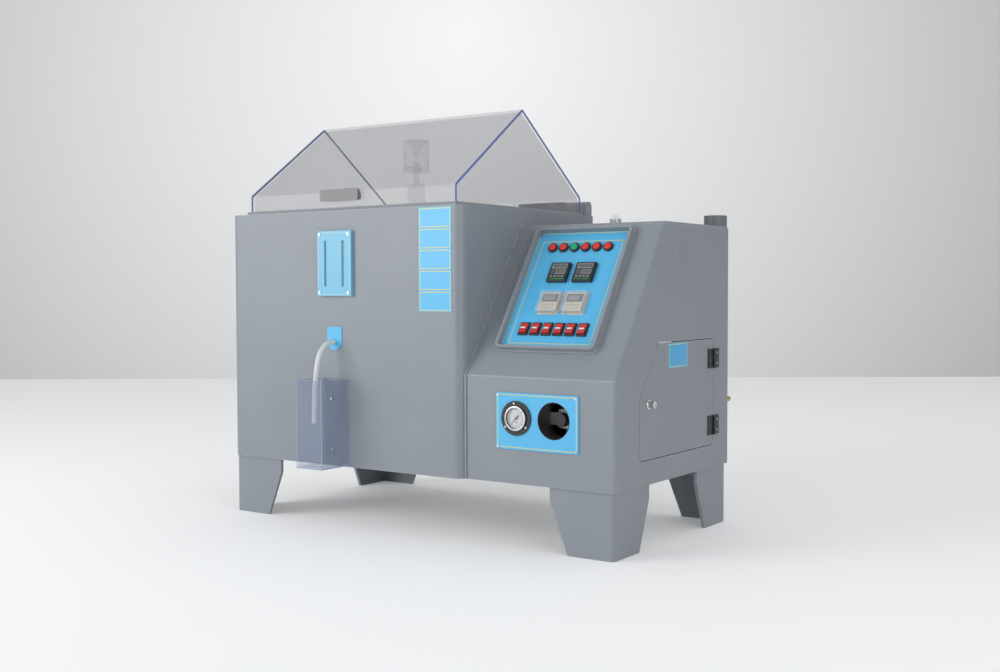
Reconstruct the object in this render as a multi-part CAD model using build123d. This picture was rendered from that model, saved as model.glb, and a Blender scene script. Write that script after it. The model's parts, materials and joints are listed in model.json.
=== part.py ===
from build123d import *
from math import atan, atan2, cos, degrees, hypot, pi, radians, sin, tan
import os

# A salt spray corrosion test chamber: a welded plastic chamber under a clear gabled cover,
# with a control box welded to its right side.
# Frame: +X to the right along the front, +Y to the back, +Z up, in millimetres.
# Inside the functions x counts from the chamber's left face, y from its front face and z from
# the floor. The finished pieces are then moved so that the origin lies on the floor under the
# middle of the overall box.

# Chamber body
chamber_w = 702.0
chamber_d = 570.0
chamber_h = 591.0
shell_t = 8.0
corner_r = 20.0
leg_h = 138.0

# Legs: angle-shaped feet, upright at the top and tapered below
leg_top_w = 151.0
leg_foot_w = 108.0
leg_upright = 31.0
leg_t = 8.0
leg_inset = 5.0
leg_corner_r = 9.0

# Clear cover
cover_x = 59.0
cover_y = 10.0
cover_right_margin = 22.0
cover_back_margin = 39.0
cover_t = 6.0
lip_above_deck = 45.6
lip_below_deck = 20.0
gable_rise = 189.9
lip_bend_r = 9.0
ridge_r = 7.0

# Handle on the front lip
handle_x = 297.0
handle_w = 115.5
handle_h = 27.5
handle_depth = 12.0
handle_face_t = 3.5
handle_neck = 12.0
handle_above_bend = 3.0
handle_r = 5.0

# Water seal trough round the opening
trough_t = 5.0
seal_gap = 3.0
channel_w = 24.0
channel_back_w = 35.0
channel_floor_gap = 4.0
rim_rise = 7.0
rim_top = 2.0
inner_wall_rise = 4.0

# Cover hinge
hinge_r = 17.5
hinge_lip_gap = 0.5
hinge_axis_rise = 19.5
hinge_pin_r = 5.0
knuckle_end_gap = 53.0
knuckle_len = 133.0
bearing_len = 66.5
bearing_end_gap = 0.5
bearing_front = 12.0
bearing_back = 14.0
bearing_r = 12.0
bearing_below_knuckle = 1.0
running_gap = 0.05

# Test space
tank_depth = 420.0
tank_t = 5.0
drain_x = 337.0
drain_z = 426.0
drain_boss_r = 9.0
drain_wall = 2.0

# Spray tower
pot_r = 60.0
pot_h = 70.0
pot_t = 5.0
pot_hub_r = 9.0
feed_r = 8.0
feed_dip = 20.0
tower_tube_r = 21.5
tower_tube_t = 3.0
tower_tube_top = 804.0
spout_r = 7.5
spout_t = 2.0
spout_top = 861.0
cap_r = 32.0
cap_t = 3.0
cap_bottom = 835.0
cap_h = 77.0
cap_cone_r = 20.0
cap_cone_h = 45.0
cap_collar_h = 12.0
cap_collar_r = 11.0
cap_collar_lift = 3.0
cap_clearance = 0.2
cap_spokes = 3
nozzle_r = 4.5
nozzle_h = 46.0

# Specimen rack
bar_z = 590.0
bar_h = 40.0
bar_t = 12.0
bar_inset = 48.0
bar_play = 1.0
rod_r = 5.0
rod_overhang = 12.0
rod_count_each_side = 5
rod_first = 50.0
rod_end_gap = 54.5
rod_play = 0.3
ledge_w = 18.0
ledge_h = 10.0

# Collecting funnels on measuring cylinders
collector_heater_gap = 25.0
collector_forward = 70.0
glass_r = 18.0
glass_h = 150.0
glass_t = 2.0
funnel_r = 50.0
funnel_h = 70.0
funnel_t = 1.5
funnel_stem_r = 6.0
funnel_stem = 30.0
funnel_rest_gap = 0.05

# Immersion heaters on the floor of the test space, one each side
heater_r = 6.0
heater_wall_gap = 35.0
heater_w = 60.0
heater_front_gap = 85.0
heater_bend_r = 25.0
heater_lift = 14.0

# Brine tank under the test space
brine_left = 60.0
brine_past_tower = 50.5
brine_front = 80.0
brine_back_gap = 90.0
brine_h = 135.0
drain_pipe_r = 8.0

# Level sight plate on the chamber front
sight_x = (292.5, 396.0)
sight_z = (532.0, 681.5)
sight_t = 8.0
sight_slot_w = 7.0
sight_slot_depth = 5.0
sight_slot_end = 22.0
sight_tube_r = 3.2
sight_tube_from_edge = 25.0
sight_screw_inset = 8.0

# Function label plates on the chamber front
label_w = 89.3
label_from_right = 25.0
label_top = 725.0
label_h = 45.4
label_count = 5
label_t = 1.0
badge_x = (316.8, 360.6)
badge_z = (407.0, 460.7)
badge_t = 2.0

# Overflow trough on the chamber front
catch_x = (300.5, 378.0)
catch_z = (141.0, 341.0)
catch_depth = 90.0
catch_t = 4.0
catch_screws = ((330.0, 294.4), (331.0, 177.0))

# Drain hose: the points of its route, from the wall to its free end in the trough
hose_r = 6.0
hose_hole_gap = 0.3
hose_arc_share = 0.45
hose_route = (
    (337.0, 8.0, 426.0),
    (337.0, -19.0, 426.0),
    (336.4, -38.1, 414.9),
    (334.5, -50.8, 394.3),
    (332.0, -56.6, 357.0),
    (328.8, -59.0, 304.0),
    (326.0, -57.0, 242.0),
)

# Control box
control_w = 368.0
control_setback = 14.0
control_d = 541.0
control_h = 553.0
control_t = 6.0
bend_h = 225.0
slope_run = 215.0
bend_r = 8.0
apex_r = 15.0
back_r = 8.0
side_edge_r = 5.0
weld_bead = 3.5

# Control panel on the slope. Its rows lie at shares of the slope's length, counted up from the
# bend, and all places across the box count from the box's left face.
panel_in = 182.5
panel_w = 245.0
panel_bottom_share = 0.1606
panel_height_share = 0.7904
panel_wall = 6.0
panel_rise = 16.5
panel_r = 12.0
plate_t = 3.0
plate_gap = 0.3
panel_opening_margin = 17.0
panel_screw_inset = 6.5
panel_catch_in = 185.0
panel_catch_h = 10.0

lamp_mid_in = 184.0
lamp_row_share = 0.8282
lamp_pitch = 28.04
lamp_count = 6
lamp_bezel_r = 11.5
lamp_bezel_t = 5.0
lamp_bezel_edge_r = 1.0
lamp_lens_r = 8.2
lamp_lens_h = 6.0
lamp_lens_seat = 2.0
lamp_lens_bend = 3.0
lamp_barrel_r = 8.0
lamp_barrel_len = 35.0

controller_mid_in = 185.9
controller_offset = 31.9
controller_row_share = 0.6568
controller_face = 48.0
controller_face_t = 9.0
controller_face_r = 1.5
device_body = 44.6
device_len = 75.0
cutout_gap = 0.2

timer_mid_in = 188.5
timer_offset = 30.8
timer_row_share = 0.4564
timer_face = 44.0
timer_face_t = 7.5
timer_frame_t = 1.5
timer_frame_w = 53.0
timer_cover_w = 50.0
timer_cover_h = 14.0
timer_cover_t = 1.6
timer_cover_gap = 0.2
timer_hinge_r = 1.8
timer_hinge_pin_r = 0.9
timer_hinge_reach = 2.0
timer_ear_w = 2.0
timer_ear_gap = 0.3
timer_barrel_half = 20.0

rocker_mid_in = 185.8
rocker_row_share = 0.2945
rocker_pitch = 29.0
rocker_count = 6
rocker_frame_w = 23.0
rocker_frame_l = 31.0
rocker_frame_t = 4.0
rocker_frame_r = 1.0
rocker_body_w = 20.5
rocker_body_l = 28.0
rocker_body_len = 25.0
rocker_w = 16.6
rocker_l = 23.0
rocker_below = 3.0
rocker_above = 5.0
rocker_dip = 1.4
rocker_tilt = 10.0
rocker_side_gap = 0.3
rocker_end_gap = 1.3
rocker_pivot_len = 1.5
rocker_pivot_r = 1.5
rocker_pivot_sink = 2.0
rocker_well_gap = 3.0

# Service plate with the gauge and the air regulator, on the upright front
service_in = 83.0
service_w = 202.5
service_z = (211.0, 330.0)
service_t = 3.0
service_screw_inset = 5.5
gauge_in = 135.0
gauge_z = 277.0
gauge_flange_r = 36.5
gauge_flange_t = 3.0
gauge_can_r = 26.0
gauge_can_back = 24.0
gauge_proud = 6.0
gauge_wall = 2.0
gauge_dial_depth = 6.0
gauge_lens_t = 1.5
gauge_lens_depth = 1.0
gauge_bezel_w = 3.0
gauge_bezel_t = 1.2
gauge_screw_ring_r = 31.5
gauge_screw_angles = (97.0, 217.0, 325.0)
needle_len = 19.0
needle_tail = 8.0
needle_w = 1.8
needle_t = 0.8
needle_lift = 0.6
needle_hub_r = 3.0
needle_post_r = 1.0
needle_post_rise = 0.4
needle_zero = 225.0
regulator_in = 226.2
regulator_z = 276.0
sleeve_r = 39.0
sleeve_t = 1.5
sleeve_len = 46.0
bracket_t = 3.0
bracket_half_w = 38.6
bracket_half_h = 13.0
knob_r = 14.0
knob_len = 17.0
knob_edge_r = 1.5
knob_back_gap = 3.0
knob_ribs = 20
knob_rib_r = 1.2
knob_rib_start = 4.0
knob_bore_rest = 1.0
knob_front_wall = 4.0
knob_stem_r = 4.0
regulator_neck = 3.0
regulator_neck_r = 10.0
regulator_half = 20.0
regulator_edge_r = 4.0
regulator_len = 45.0
regulator_stem_seat = 14.0
regulator_bowl_r = 17.0
regulator_bowl_len = 55.0

# Side door in the control box's right wall
door_front = 118.0
door_back_gap = 86.0
door_z = (191.0, 432.0)
door_corner_z = 316.5
door_slant = 80.0
door_gap = 1.75
door_r = 12.0
door_hinge_z = (235.0, 388.0)
leaf_w = 24.0
leaf_h = 44.0
leaf_t = 2.5
leaf_start = 4.0
leaf_knuckle_r = 3.5
leaf_pin_r = 1.6
leaf_lift = 0.3
leaf_screw_r = 2.6
leaf_screw_t = 0.8
leaf_screw_span = 24.0
leaf_screw_reach = 16.5
knuckle_split_gap = 0.3
lock_y = 154.7
lock_z = 306.5
lock_flange_r = 11.0
lock_flange_t = 4.0
lock_flange_edge_r = 1.5
lock_barrel_r = 7.5
lock_reach = 16.0
lock_inside = 1.0
lock_plug_r = 5.2
lock_plug_sink = 0.6
lock_cam_w = 14.0
lock_cam_t = 3.0
lock_cam_len = 46.0
lock_cam_gap = 1.0
lock_tail = 10.0
key_slot_w = 1.2
key_slot_h = 7.0
key_slot_depth = 2.0
door_tab_z = (225.0, 285.0)
door_tab_reach = 10.0
door_tab_gap = 0.3

# Saturator barrel, its filler cap and the exhaust pipe
barrel_in = 192.0
barrel_behind_tower = 65.0
barrel_r = 65.0
barrel_top_gap = 131.0
barrel_t = 3.0
barrel_shoulder_r = 20.0
barrel_port_r = 9.0
barrel_port_len = 10.0
neck_r = 12.0
neck_t = 2.0
neck_rise = 13.0
neck_gap = 0.3
filler_lift = 0.5
filler_skirt_t = 1.3
filler_skirt_h = 13.0
filler_roof_r = 14.7
filler_roof_h = 13.5
filler_roof_t = 2.5
pipe_from_right = 48.0
pipe_r = 27.0
pipe_t = 2.5
pipe_rise = 28.5
pipe_elbow_drop = 46.0
pipe_wall_gap = 2.5

# Electrics on the control box's left wall: each unit by its start and end as shares of the
# mounting plate's width, its limits along z and its depth
mount_plate_back_gap = 25.0
mount_plate_behind_tower = 85.0
mount_plate_z = (200.0, 520.0)
mount_plate_t = 3.0
electric_units = (
    (0.08, 0.42, 420.0, 500.0, 60.0),
    (0.50, 0.92, 420.0, 500.0, 45.0),
    (0.08, 0.92, 358.0, 402.0, 50.0),
    (0.08, 0.92, 230.0, 290.0, 30.0),
)

# Rigid air lines
air_r = 4.0
air_bore_r = 2.5
air_bend_r = 15.0
air_straight = 45.0
air_cross_in = 58.0
air_pot_z = 345.0

# Rear panel and fittings
rear_panel_in = 30.0
rear_panel_w = 230.0
rear_panel_bottom = 190.0
rear_panel_top_gap = 91.0
rear_panel_t = 3.0
rear_overlap = 12.0
louvre_count = 8
louvre_pitch = 22.0
louvre_from_top = 30.0
louvre_w = 150.0
louvre_h = 6.0
air_inlet_from_right = 18.0
air_inlet_z = 284.5
lead_from_right = 70.0
water_inlet_z = 230.0
cable_gland_z = 340.0
inlet_r = 6.5
inlet_len = 40.0
inlet_nut_r = 8.0
inlet_nut_len = 10.0
gland_r = 11.0
gland_len = 20.0
gland_bore_r = 3.0
valve_x = 120.0
valve_z = 176.0
valve_r = 13.0
valve_len = 42.0
valve_bore_r = 5.0
valve_stem_from_wall = 25.0
valve_boss_r = 9.0
valve_boss_rise = 2.0
valve_stem_r = 3.0
valve_stem_len = 9.0
lever_len = 62.0
lever_w = 11.0
lever_t = 3.0
lever_hub_r = 7.5
lever_gap = 0.3

# Screws
screw_head_r = 3.2
screw_head_t = 1.8
small_screw_r = 2.4

# Derived places
deck_z = leg_h + chamber_h
total_w = chamber_w + control_w
control_top = leg_h + control_h
control_back = control_setback + control_d
bend_z = leg_h + bend_h
slope_angle = atan2(slope_run, control_h - bend_h)
slope_len = hypot(slope_run, control_h - bend_h)
panel_x = chamber_w + panel_in
panel_catch_x = chamber_w + panel_catch_in
lamp_mid_x = chamber_w + lamp_mid_in
controller_mid_x = chamber_w + controller_mid_in
timer_mid_x = chamber_w + timer_mid_in
rocker_mid_x = chamber_w + rocker_mid_in
gauge_x = chamber_w + gauge_in
regulator_x = chamber_w + regulator_in
barrel_x = chamber_w + barrel_in
air_cross_x = chamber_w + air_cross_in
service_x = (chamber_w + service_in, chamber_w + service_in + service_w)
rear_panel_x = (chamber_w + rear_panel_in, chamber_w + rear_panel_in + rear_panel_w)
rear_panel_z = (rear_panel_bottom, control_top - rear_panel_top_gap)
pipe_x = total_w - pipe_from_right
pipe_top = control_top + pipe_rise
pipe_elbow_z = control_top - pipe_elbow_drop
air_inlet = (total_w - air_inlet_from_right, air_inlet_z)
water_inlet = (total_w - lead_from_right, water_inlet_z)
cable_gland = (total_w - lead_from_right, cable_gland_z)
barrel_h = control_h - control_t - barrel_top_gap
door_y = (door_front, control_back - door_back_gap)
label_x = (chamber_w - label_from_right - label_w, chamber_w - label_from_right)
lamp_v = slope_len * lamp_row_share
controller_v = slope_len * controller_row_share
timer_v = slope_len * timer_row_share
rocker_v = slope_len * rocker_row_share
panel_bottom = slope_len * panel_bottom_share
panel_h = slope_len * panel_height_share
cover_w = chamber_w - cover_x - cover_right_margin
cover_d = chamber_d - cover_y - cover_back_margin
cover_x1 = cover_x + cover_w
cover_y1 = cover_y + cover_d
cover_mid_x = cover_x + cover_w / 2
cover_mid_y = cover_y + cover_d / 2
lip_z = deck_z + lip_above_deck
lip_bottom = deck_z - lip_below_deck
ridge_z = lip_z + gable_rise
roof_angle = atan2(gable_rise, cover_d / 2)
hinge_y = cover_y1 + hinge_lip_gap + hinge_r
hinge_z = deck_z + hinge_axis_rise
trough_floor = lip_bottom - channel_floor_gap
trough_bottom = trough_floor - trough_t
channel_x = (cover_x - seal_gap, cover_x1 + seal_gap)
channel_y = (cover_y - seal_gap, cover_y1 + seal_gap)
outer_x = (channel_x[0] - trough_t, channel_x[1] + trough_t)
outer_y = (channel_y[0] - trough_t, channel_y[1] + trough_t)
tank_x = (channel_x[0] + channel_w, channel_x[1] - channel_w)
tank_y = (channel_y[0] + channel_w, channel_y[1] - channel_back_w)
inside_x = (tank_x[0] + tank_t, tank_x[1] - tank_t)
inside_y = (tank_y[0] + tank_t, tank_y[1] - tank_t)
tank_floor = deck_z - tank_depth
brine_top = leg_h + shell_t + brine_h
tower_x = (tank_x[0] + tank_x[1]) / 2
tower_y = (tank_y[0] + tank_y[1]) / 2
barrel_y = tower_y + barrel_behind_tower
mount_plate_y = (tower_y + mount_plate_behind_tower, control_back - mount_plate_back_gap)
brine_x = (brine_left, tower_x + brine_past_tower)
brine_y = (brine_front, chamber_d - brine_back_gap)
tank_half_w = (inside_x[1] - inside_x[0]) / 2
rod_pitch = (tank_half_w - rod_first - rod_end_gap) / (rod_count_each_side - 1)
heater_offset = tank_half_w - heater_wall_gap - heater_w / 2
collector_offset = heater_offset - heater_w / 2 - collector_heater_gap - glass_r
knuckle_from_middle = cover_w / 2 - knuckle_end_gap - knuckle_len
bar_spots = (inside_y[0] + bar_inset, inside_y[1] - bar_inset)
door_axis_y = door_y[1] + door_gap / 2
door_axis_x = total_w + leaf_lift + leaf_knuckle_r
service_face = control_setback - service_t
sleeve_back = service_face + sleeve_len
regulator_start = sleeve_back + bracket_t + regulator_neck
pipe_y = control_back + pipe_wall_gap + pipe_r
panel_top = panel_bottom + panel_h
frame_x = (panel_x - panel_w / 2, panel_x + panel_w / 2)
frame_v = (panel_bottom, panel_top)
rocker_pivot = plate_t + rocker_frame_t - rocker_pivot_sink
timer_top = plate_t + timer_frame_t
timer_axis_v = timer_v + timer_cover_w / 2 + timer_hinge_reach
timer_axis_h = timer_top + timer_cover_gap + timer_hinge_r
dial_y = service_face - gauge_proud + gauge_dial_depth
valve_stem_y = chamber_d + valve_stem_from_wall
overall_x = (0.0, total_w + lock_reach)
overall_y = (-catch_depth, max(chamber_d + valve_len, pipe_y + pipe_r))

panel = Plane(
    origin=(0, control_setback, bend_z),
    x_dir=(1, 0, 0),
    z_dir=(0, -cos(slope_angle), sin(slope_angle)),
)


def around(middle, size):
    """The two limits of a size centred on a middle."""
    return (middle - size / 2, middle + size / 2)


def inset(limits, amount):
    return (limits[0] + amount, limits[1] - amount)


def spread(middle, pitch, count):
    """Places at an even pitch, centred on a middle."""
    return [middle + (number - (count - 1) / 2) * pitch for number in range(count)]


def block(x, y, z):
    """A box between two limits in each direction."""
    sizes = [high - low for low, high in (x, y, z)]
    middles = [(high + low) / 2 for low, high in (x, y, z)]
    return Pos(*middles) * Box(*sizes)


def upright_block(x, y, z, radius):
    """A box with rounded upright corners."""
    face = RectangleRounded(x[1] - x[0], y[1] - y[0], radius)
    return Pos((x[0] + x[1]) / 2, (y[0] + y[1]) / 2, z[0]) * extrude(face, z[1] - z[0])


def rod_x(x, y, z, radius):
    return Pos((x[0] + x[1]) / 2, y, z) * Rot(0, 90, 0) * Cylinder(radius, x[1] - x[0])


def rod_y(x, y, z, radius):
    return Pos(x, (y[0] + y[1]) / 2, z) * Rot(90, 0, 0) * Cylinder(radius, y[1] - y[0])


def rod_z(x, y, z, radius):
    return Pos(x, y, (z[0] + z[1]) / 2) * Cylinder(radius, z[1] - z[0])


def group(pieces):
    """Several separate solids as one piece."""
    return Compound([solid for piece in pieces for solid in piece.solids()])


def side_profile(points):
    """A face from (y, z) points, to be drawn out along x."""
    return make_face(Polyline(*points, close=True))


def extrude_x(face, x):
    return Pos(x[0], 0, 0) * extrude(Plane.YZ * face, x[1] - x[0])


def end_circle(shape, axis, last=True):
    """The round edge at one end of a shape along an axis."""
    circles = shape.edges().filter_by(GeomType.CIRCLE).sort_by(axis)
    return circles[-1] if last else circles[0]


def swept_rod(points, bend, radius, bore=0.0):
    """A round rod or tube along straight runs joined by bends."""
    path = FilletPolyline(*points, radius=bend)
    section = Circle(radius) - Circle(bore) if bore else Circle(radius)
    return sweep(path.location_at(0) * section, path=path)


def chamber_shell():
    x = (0, chamber_w)
    y = (0, chamber_d)
    shell = upright_block(x, y, (leg_h, deck_z), corner_r)
    hollow_z = (leg_h + shell_t, deck_z - shell_t)
    shell -= upright_block(inset(x, shell_t), inset(y, shell_t), hollow_z, corner_r - shell_t)
    shell -= block(outer_x, outer_y, (trough_bottom, deck_z + 1))
    shell -= rod_y(drain_x, (-1, shell_t + 1), drain_z, hose_r + hose_hole_gap)
    shell -= rod_y(valve_x, (chamber_d - shell_t - 1, chamber_d + 1), valve_z, valve_bore_r)
    shell -= rod_x((chamber_w - shell_t - 1, chamber_w + 1), tower_y, air_pot_z, air_r)
    return shell


def seal_trough():
    trough = block(outer_x, outer_y, (trough_bottom, deck_z))
    rim_y = (outer_y[0], channel_y[1])
    rim_taper = degrees(atan((trough_t - rim_top) / rim_rise))
    rim = extrude(Rectangle(outer_x[1] - outer_x[0], rim_y[1] - rim_y[0]), rim_rise, taper=rim_taper)
    trough += Pos((outer_x[0] + outer_x[1]) / 2, (rim_y[0] + rim_y[1]) / 2, deck_z) * rim
    trough -= block(channel_x, channel_y, (trough_floor, deck_z + rim_rise + 1))
    trough += block(tank_x, tank_y, (trough_bottom, deck_z + inner_wall_rise))
    trough -= block(inside_x, inside_y, (trough_bottom - 1, deck_z + rim_rise))
    return trough


def inner_tank():
    tank = block(tank_x, tank_y, (tank_floor - tank_t, trough_bottom))
    tank -= block(inside_x, inside_y, (tank_floor, trough_bottom + 1))
    ledges = ((inside_x[0], inside_x[0] + ledge_w), (inside_x[1] - ledge_w, inside_x[1]))
    for bar_y in bar_spots:
        for ledge_x in ledges:
            tank += block(ledge_x, around(bar_y, 2 * bar_t), (bar_z - ledge_h, bar_z))
    tank += rod_y(drain_x, (shell_t, tank_y[0]), drain_z, drain_boss_r)
    tank -= rod_y(drain_x, (shell_t - 1, inside_y[0] + 1), drain_z, hose_r - drain_wall)
    tank -= rod_z(tower_x, tower_y, (tank_floor - tank_t - 1, tank_floor + 1), feed_r)
    tank -= rod_x((inside_x[1] - 1, tank_x[1] + 1), tower_y, air_pot_z, air_r)
    return tank


def base_leg():
    outline = (
        (0, 0),
        (leg_foot_w, 0),
        (leg_top_w, leg_h - leg_upright),
        (leg_top_w, leg_h),
        (0, leg_h),
    )
    face = make_face(Polyline(*outline, close=True))
    front_plate = Pos(0, leg_t, 0) * extrude(Plane.XZ * face, leg_t)
    corner = front_plate + extrude(Plane.YZ * face, leg_t)
    upright = corner.edges().filter_by(Axis.Z)
    outer = upright.sort_by(lambda edge: edge.center().X + edge.center().Y)[0]
    return fillet(outer, leg_corner_r)


def legs():
    front_left = base_leg()
    front_right = mirror(front_left, about=Plane.YZ)
    back_left = mirror(front_left, about=Plane.XZ)
    back_right = mirror(front_right, about=Plane.XZ)
    return group([
        Pos(leg_inset, leg_inset, 0) * front_left,
        Pos(leg_inset, chamber_d - leg_inset, 0) * back_left,
        Pos(total_w - leg_inset, control_setback + leg_inset, 0) * front_right,
        Pos(total_w - leg_inset, control_back - leg_inset, 0) * back_right,
    ])


def cover_outline(inward, bottom):
    """The gabled outline of the cover with rounded bends, moved inward by a distance."""
    low = lip_z + inward * tan(roof_angle) - inward / cos(roof_angle)
    high = ridge_z - inward / cos(roof_angle)
    y0 = cover_y + inward
    y1 = cover_y1 - inward
    face = side_profile(((y0, bottom), (y0, low), (cover_mid_y, high), (y1, low), (y1, bottom)))
    bends = face.vertices().sort_by(Axis.Y)[2:4]
    face = fillet(bends, lip_bend_r - inward)
    ridge = face.vertices().sort_by(Axis.Y)[-1]
    return fillet(ridge, ridge_r - inward)


def cover_panels():
    sheet = extrude_x(cover_outline(0, lip_bottom), (cover_x, cover_x1))
    sheet -= extrude_x(cover_outline(cover_t, lip_bottom - 1), (cover_x - 1, cover_x1 + 1))
    gable = cover_outline(cover_t, lip_bottom)
    left = extrude_x(gable, (cover_x, cover_x + cover_t))
    right = extrude_x(gable, (cover_x1 - cover_t, cover_x1))
    return group([sheet, left, right])


def cover_handle():
    """A wedge-backed bar that narrows to the lip, with rounded corners in front view."""
    x = (handle_x, handle_x + handle_w)
    front = cover_y - handle_depth
    face_back = front + handle_face_t
    top = lip_z + handle_above_bend
    bottom = top - handle_h
    neck_top = lip_z - lip_bend_r
    outline = (
        (front, bottom),
        (front, top),
        (face_back, top),
        (cover_y, neck_top),
        (cover_y, neck_top - handle_neck),
        (face_back, bottom),
    )
    bar = extrude_x(side_profile(outline), x)
    rounding = extrude(RectangleRounded(handle_w, handle_h, handle_r), handle_depth)
    return bar & (Pos((x[0] + x[1]) / 2, cover_y, (top + bottom) / 2) * Rot(90, 0, 0) * rounding)


def hinge_span(side, near, length):
    """The limits along x of a hinge piece that starts a distance from the cover's middle."""
    return sorted(cover_mid_x + side * place for place in (near, near + length))


def cover_knuckles():
    pieces = []
    for side in (-1, 1):
        x = hinge_span(side, knuckle_from_middle, knuckle_len)
        knuckle = block(x, (cover_y1, hinge_y), around(hinge_z, 2 * hinge_r))
        knuckle += rod_x(x, hinge_y, hinge_z, hinge_r)
        pieces.append(knuckle - rod_x(inset(x, -1), hinge_y, hinge_z, hinge_pin_r + running_gap))
    return group(pieces)


def cover_bearings():
    pieces = []
    y = (hinge_y - bearing_front, hinge_y + bearing_back)
    z = (deck_z, hinge_z + hinge_r - bearing_below_knuckle)
    for side in (-1, 1):
        x = hinge_span(side, knuckle_from_middle + knuckle_len + bearing_end_gap, bearing_len)
        bearing = block(x, y, z)
        bearing = fillet(bearing.edges().filter_by(Axis.X).group_by(Axis.Z)[-1], bearing_r)
        pieces.append(bearing - rod_x(inset(x, -1), hinge_y, hinge_z, hinge_pin_r))
    return group(pieces)


def cover_hinge_pins():
    length = knuckle_len + bearing_end_gap + bearing_len
    spans = [hinge_span(side, knuckle_from_middle, length) for side in (-1, 1)]
    return group([rod_x(x, hinge_y, hinge_z, hinge_pin_r) for x in spans])


def spray_nozzle():
    bottom = tank_floor + 2 * pot_t
    tube = rod_z(tower_x, tower_y, (bottom, bottom + nozzle_h), nozzle_r)
    return tube + Pos(tower_x, tower_y, bottom + nozzle_h + nozzle_r) * Cone(nozzle_r, 1, 2 * nozzle_r)


def tower_base():
    """The warm pot that feeds the spray nozzle, with the nozzle on its hub."""
    top = tank_floor + pot_h
    hub_top = tank_floor + 2 * pot_t
    pot = rod_z(tower_x, tower_y, (tank_floor, top), pot_r)
    pot -= rod_z(tower_x, tower_y, (tank_floor + pot_t, top - pot_t), pot_r - pot_t)
    pot -= rod_z(tower_x, tower_y, (top - pot_t - 1, top + 1), tower_tube_r - tower_tube_t)
    pot += rod_z(tower_x, tower_y, (brine_top - feed_dip, tank_floor + 1), feed_r)
    pot += rod_z(tower_x, tower_y, (tank_floor + 1, hub_top), pot_hub_r)
    return group([pot, spray_nozzle()])


def tower_tube():
    bottom = tank_floor + pot_h
    bore_r = tower_tube_r - tower_tube_t
    tube = rod_z(tower_x, tower_y, (bottom, tower_tube_top), tower_tube_r)
    tube -= rod_z(tower_x, tower_y, (bottom - 1, tower_tube_top - tower_tube_t), bore_r)
    tube += rod_z(tower_x, tower_y, (tower_tube_top - 1, spout_top), spout_r)
    tube -= rod_z(tower_x, tower_y, (tower_tube_top - 10, spout_top + 1), spout_r - spout_t)
    return tube


def tower_cap():
    """A bell with a cone hung inside it, on a collar that slides on the spout."""
    top = cap_bottom + cap_h
    cap = rod_z(tower_x, tower_y, (cap_bottom, top), cap_r)
    cap -= rod_z(tower_x, tower_y, (cap_bottom - 1, top - cap_t), cap_r - cap_t)
    cap += Pos(tower_x, tower_y, top - cap_t - cap_cone_h / 2) * Cone(0.5, cap_cone_r, cap_cone_h)
    collar_z = around(cap_bottom + cap_collar_lift + cap_collar_h / 2, cap_collar_h)
    collar = rod_z(tower_x, tower_y, collar_z, cap_collar_r)
    for number in range(cap_spokes):
        spoke = Pos(cap_r / 2, 0, 0) * Box(cap_r - cap_t, cap_t, cap_collar_h)
        turn = Rot(0, 0, number * 360 / cap_spokes + 90)
        collar += Pos(tower_x, tower_y, sum(collar_z) / 2) * turn * spoke
    collar -= rod_z(tower_x, tower_y, inset(collar_z, -1), spout_r + cap_clearance)
    return cap + collar


def specimen_rack():
    rod_places = []
    for side in (-1, 1):
        for number in range(rod_count_each_side):
            rod_places.append(tower_x + side * (rod_first + number * rod_pitch))
    top = bar_z + bar_h
    pieces = []
    for bar_y in bar_spots:
        bar = block(inset(inside_x, bar_play), around(bar_y, bar_t), (bar_z, top))
        for x in rod_places:
            bar -= rod_y(x, around(bar_y, bar_t + 2), top, rod_r + rod_play)
        pieces.append(bar)
    rod_span = (bar_spots[0] - rod_overhang, bar_spots[1] + rod_overhang)
    for x in rod_places:
        pieces.append(rod_y(x, rod_span, top - rod_play, rod_r))
    return group(pieces)


def measuring_glass(x, y):
    glass = rod_z(x, y, (tank_floor, tank_floor + glass_h), glass_r)
    return glass - rod_z(x, y, (tank_floor + 2 * glass_t, tank_floor + glass_h + 1), glass_r - glass_t)


def funnel(x, y):
    """A funnel whose cone rests on the rim of a measuring glass."""
    widening = (funnel_r - funnel_stem_r) / funnel_h
    rest = tank_floor + glass_h - (glass_r - glass_t - funnel_stem_r) / widening + funnel_rest_gap
    bore = funnel_stem_r - funnel_t
    cone = Pos(x, y, rest + funnel_h / 2) * Cone(funnel_stem_r, funnel_r, funnel_h)
    cone += rod_z(x, y, (rest - funnel_stem, rest), funnel_stem_r)
    cone -= Pos(x, y, rest + funnel_h / 2) * Cone(bore, funnel_r - funnel_t, funnel_h)
    return cone - rod_z(x, y, (rest - funnel_stem - 1, rest + 1), bore)


def fog_collectors():
    pieces = []
    y = tower_y - collector_forward
    for side in (-1, 1):
        x = tower_x + side * collector_offset
        pieces += [measuring_glass(x, y), funnel(x, y)]
    return group(pieces)


def tank_heater():
    pieces = []
    z = tank_floor + heater_lift
    front = inside_y[0] + heater_front_gap
    back = inside_y[1]
    for side in (-1, 1):
        x = around(tower_x + side * heater_offset, heater_w)
        points = ((x[0], back, z), (x[0], front, z), (x[1], front, z), (x[1], back, z))
        pieces.append(swept_rod(points, heater_bend_r, heater_r))
    return group(pieces)


def brine_tank():
    z = (leg_h + shell_t, brine_top)
    tank = block(brine_x, brine_y, z)
    tank += rod_y(valve_x, (brine_y[1] - 1, chamber_d - shell_t), valve_z, drain_pipe_r)
    tank -= block(inset(brine_x, tank_t), inset(brine_y, tank_t), inset(z, tank_t))
    drain_y = (brine_y[1] - tank_t - 1, chamber_d - shell_t + 1)
    tank -= rod_y(valve_x, drain_y, valve_z, valve_bore_r)
    return tank - rod_z(tower_x, tower_y, (z[1] - tank_t - 1, z[1] + 1), feed_r)


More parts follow.
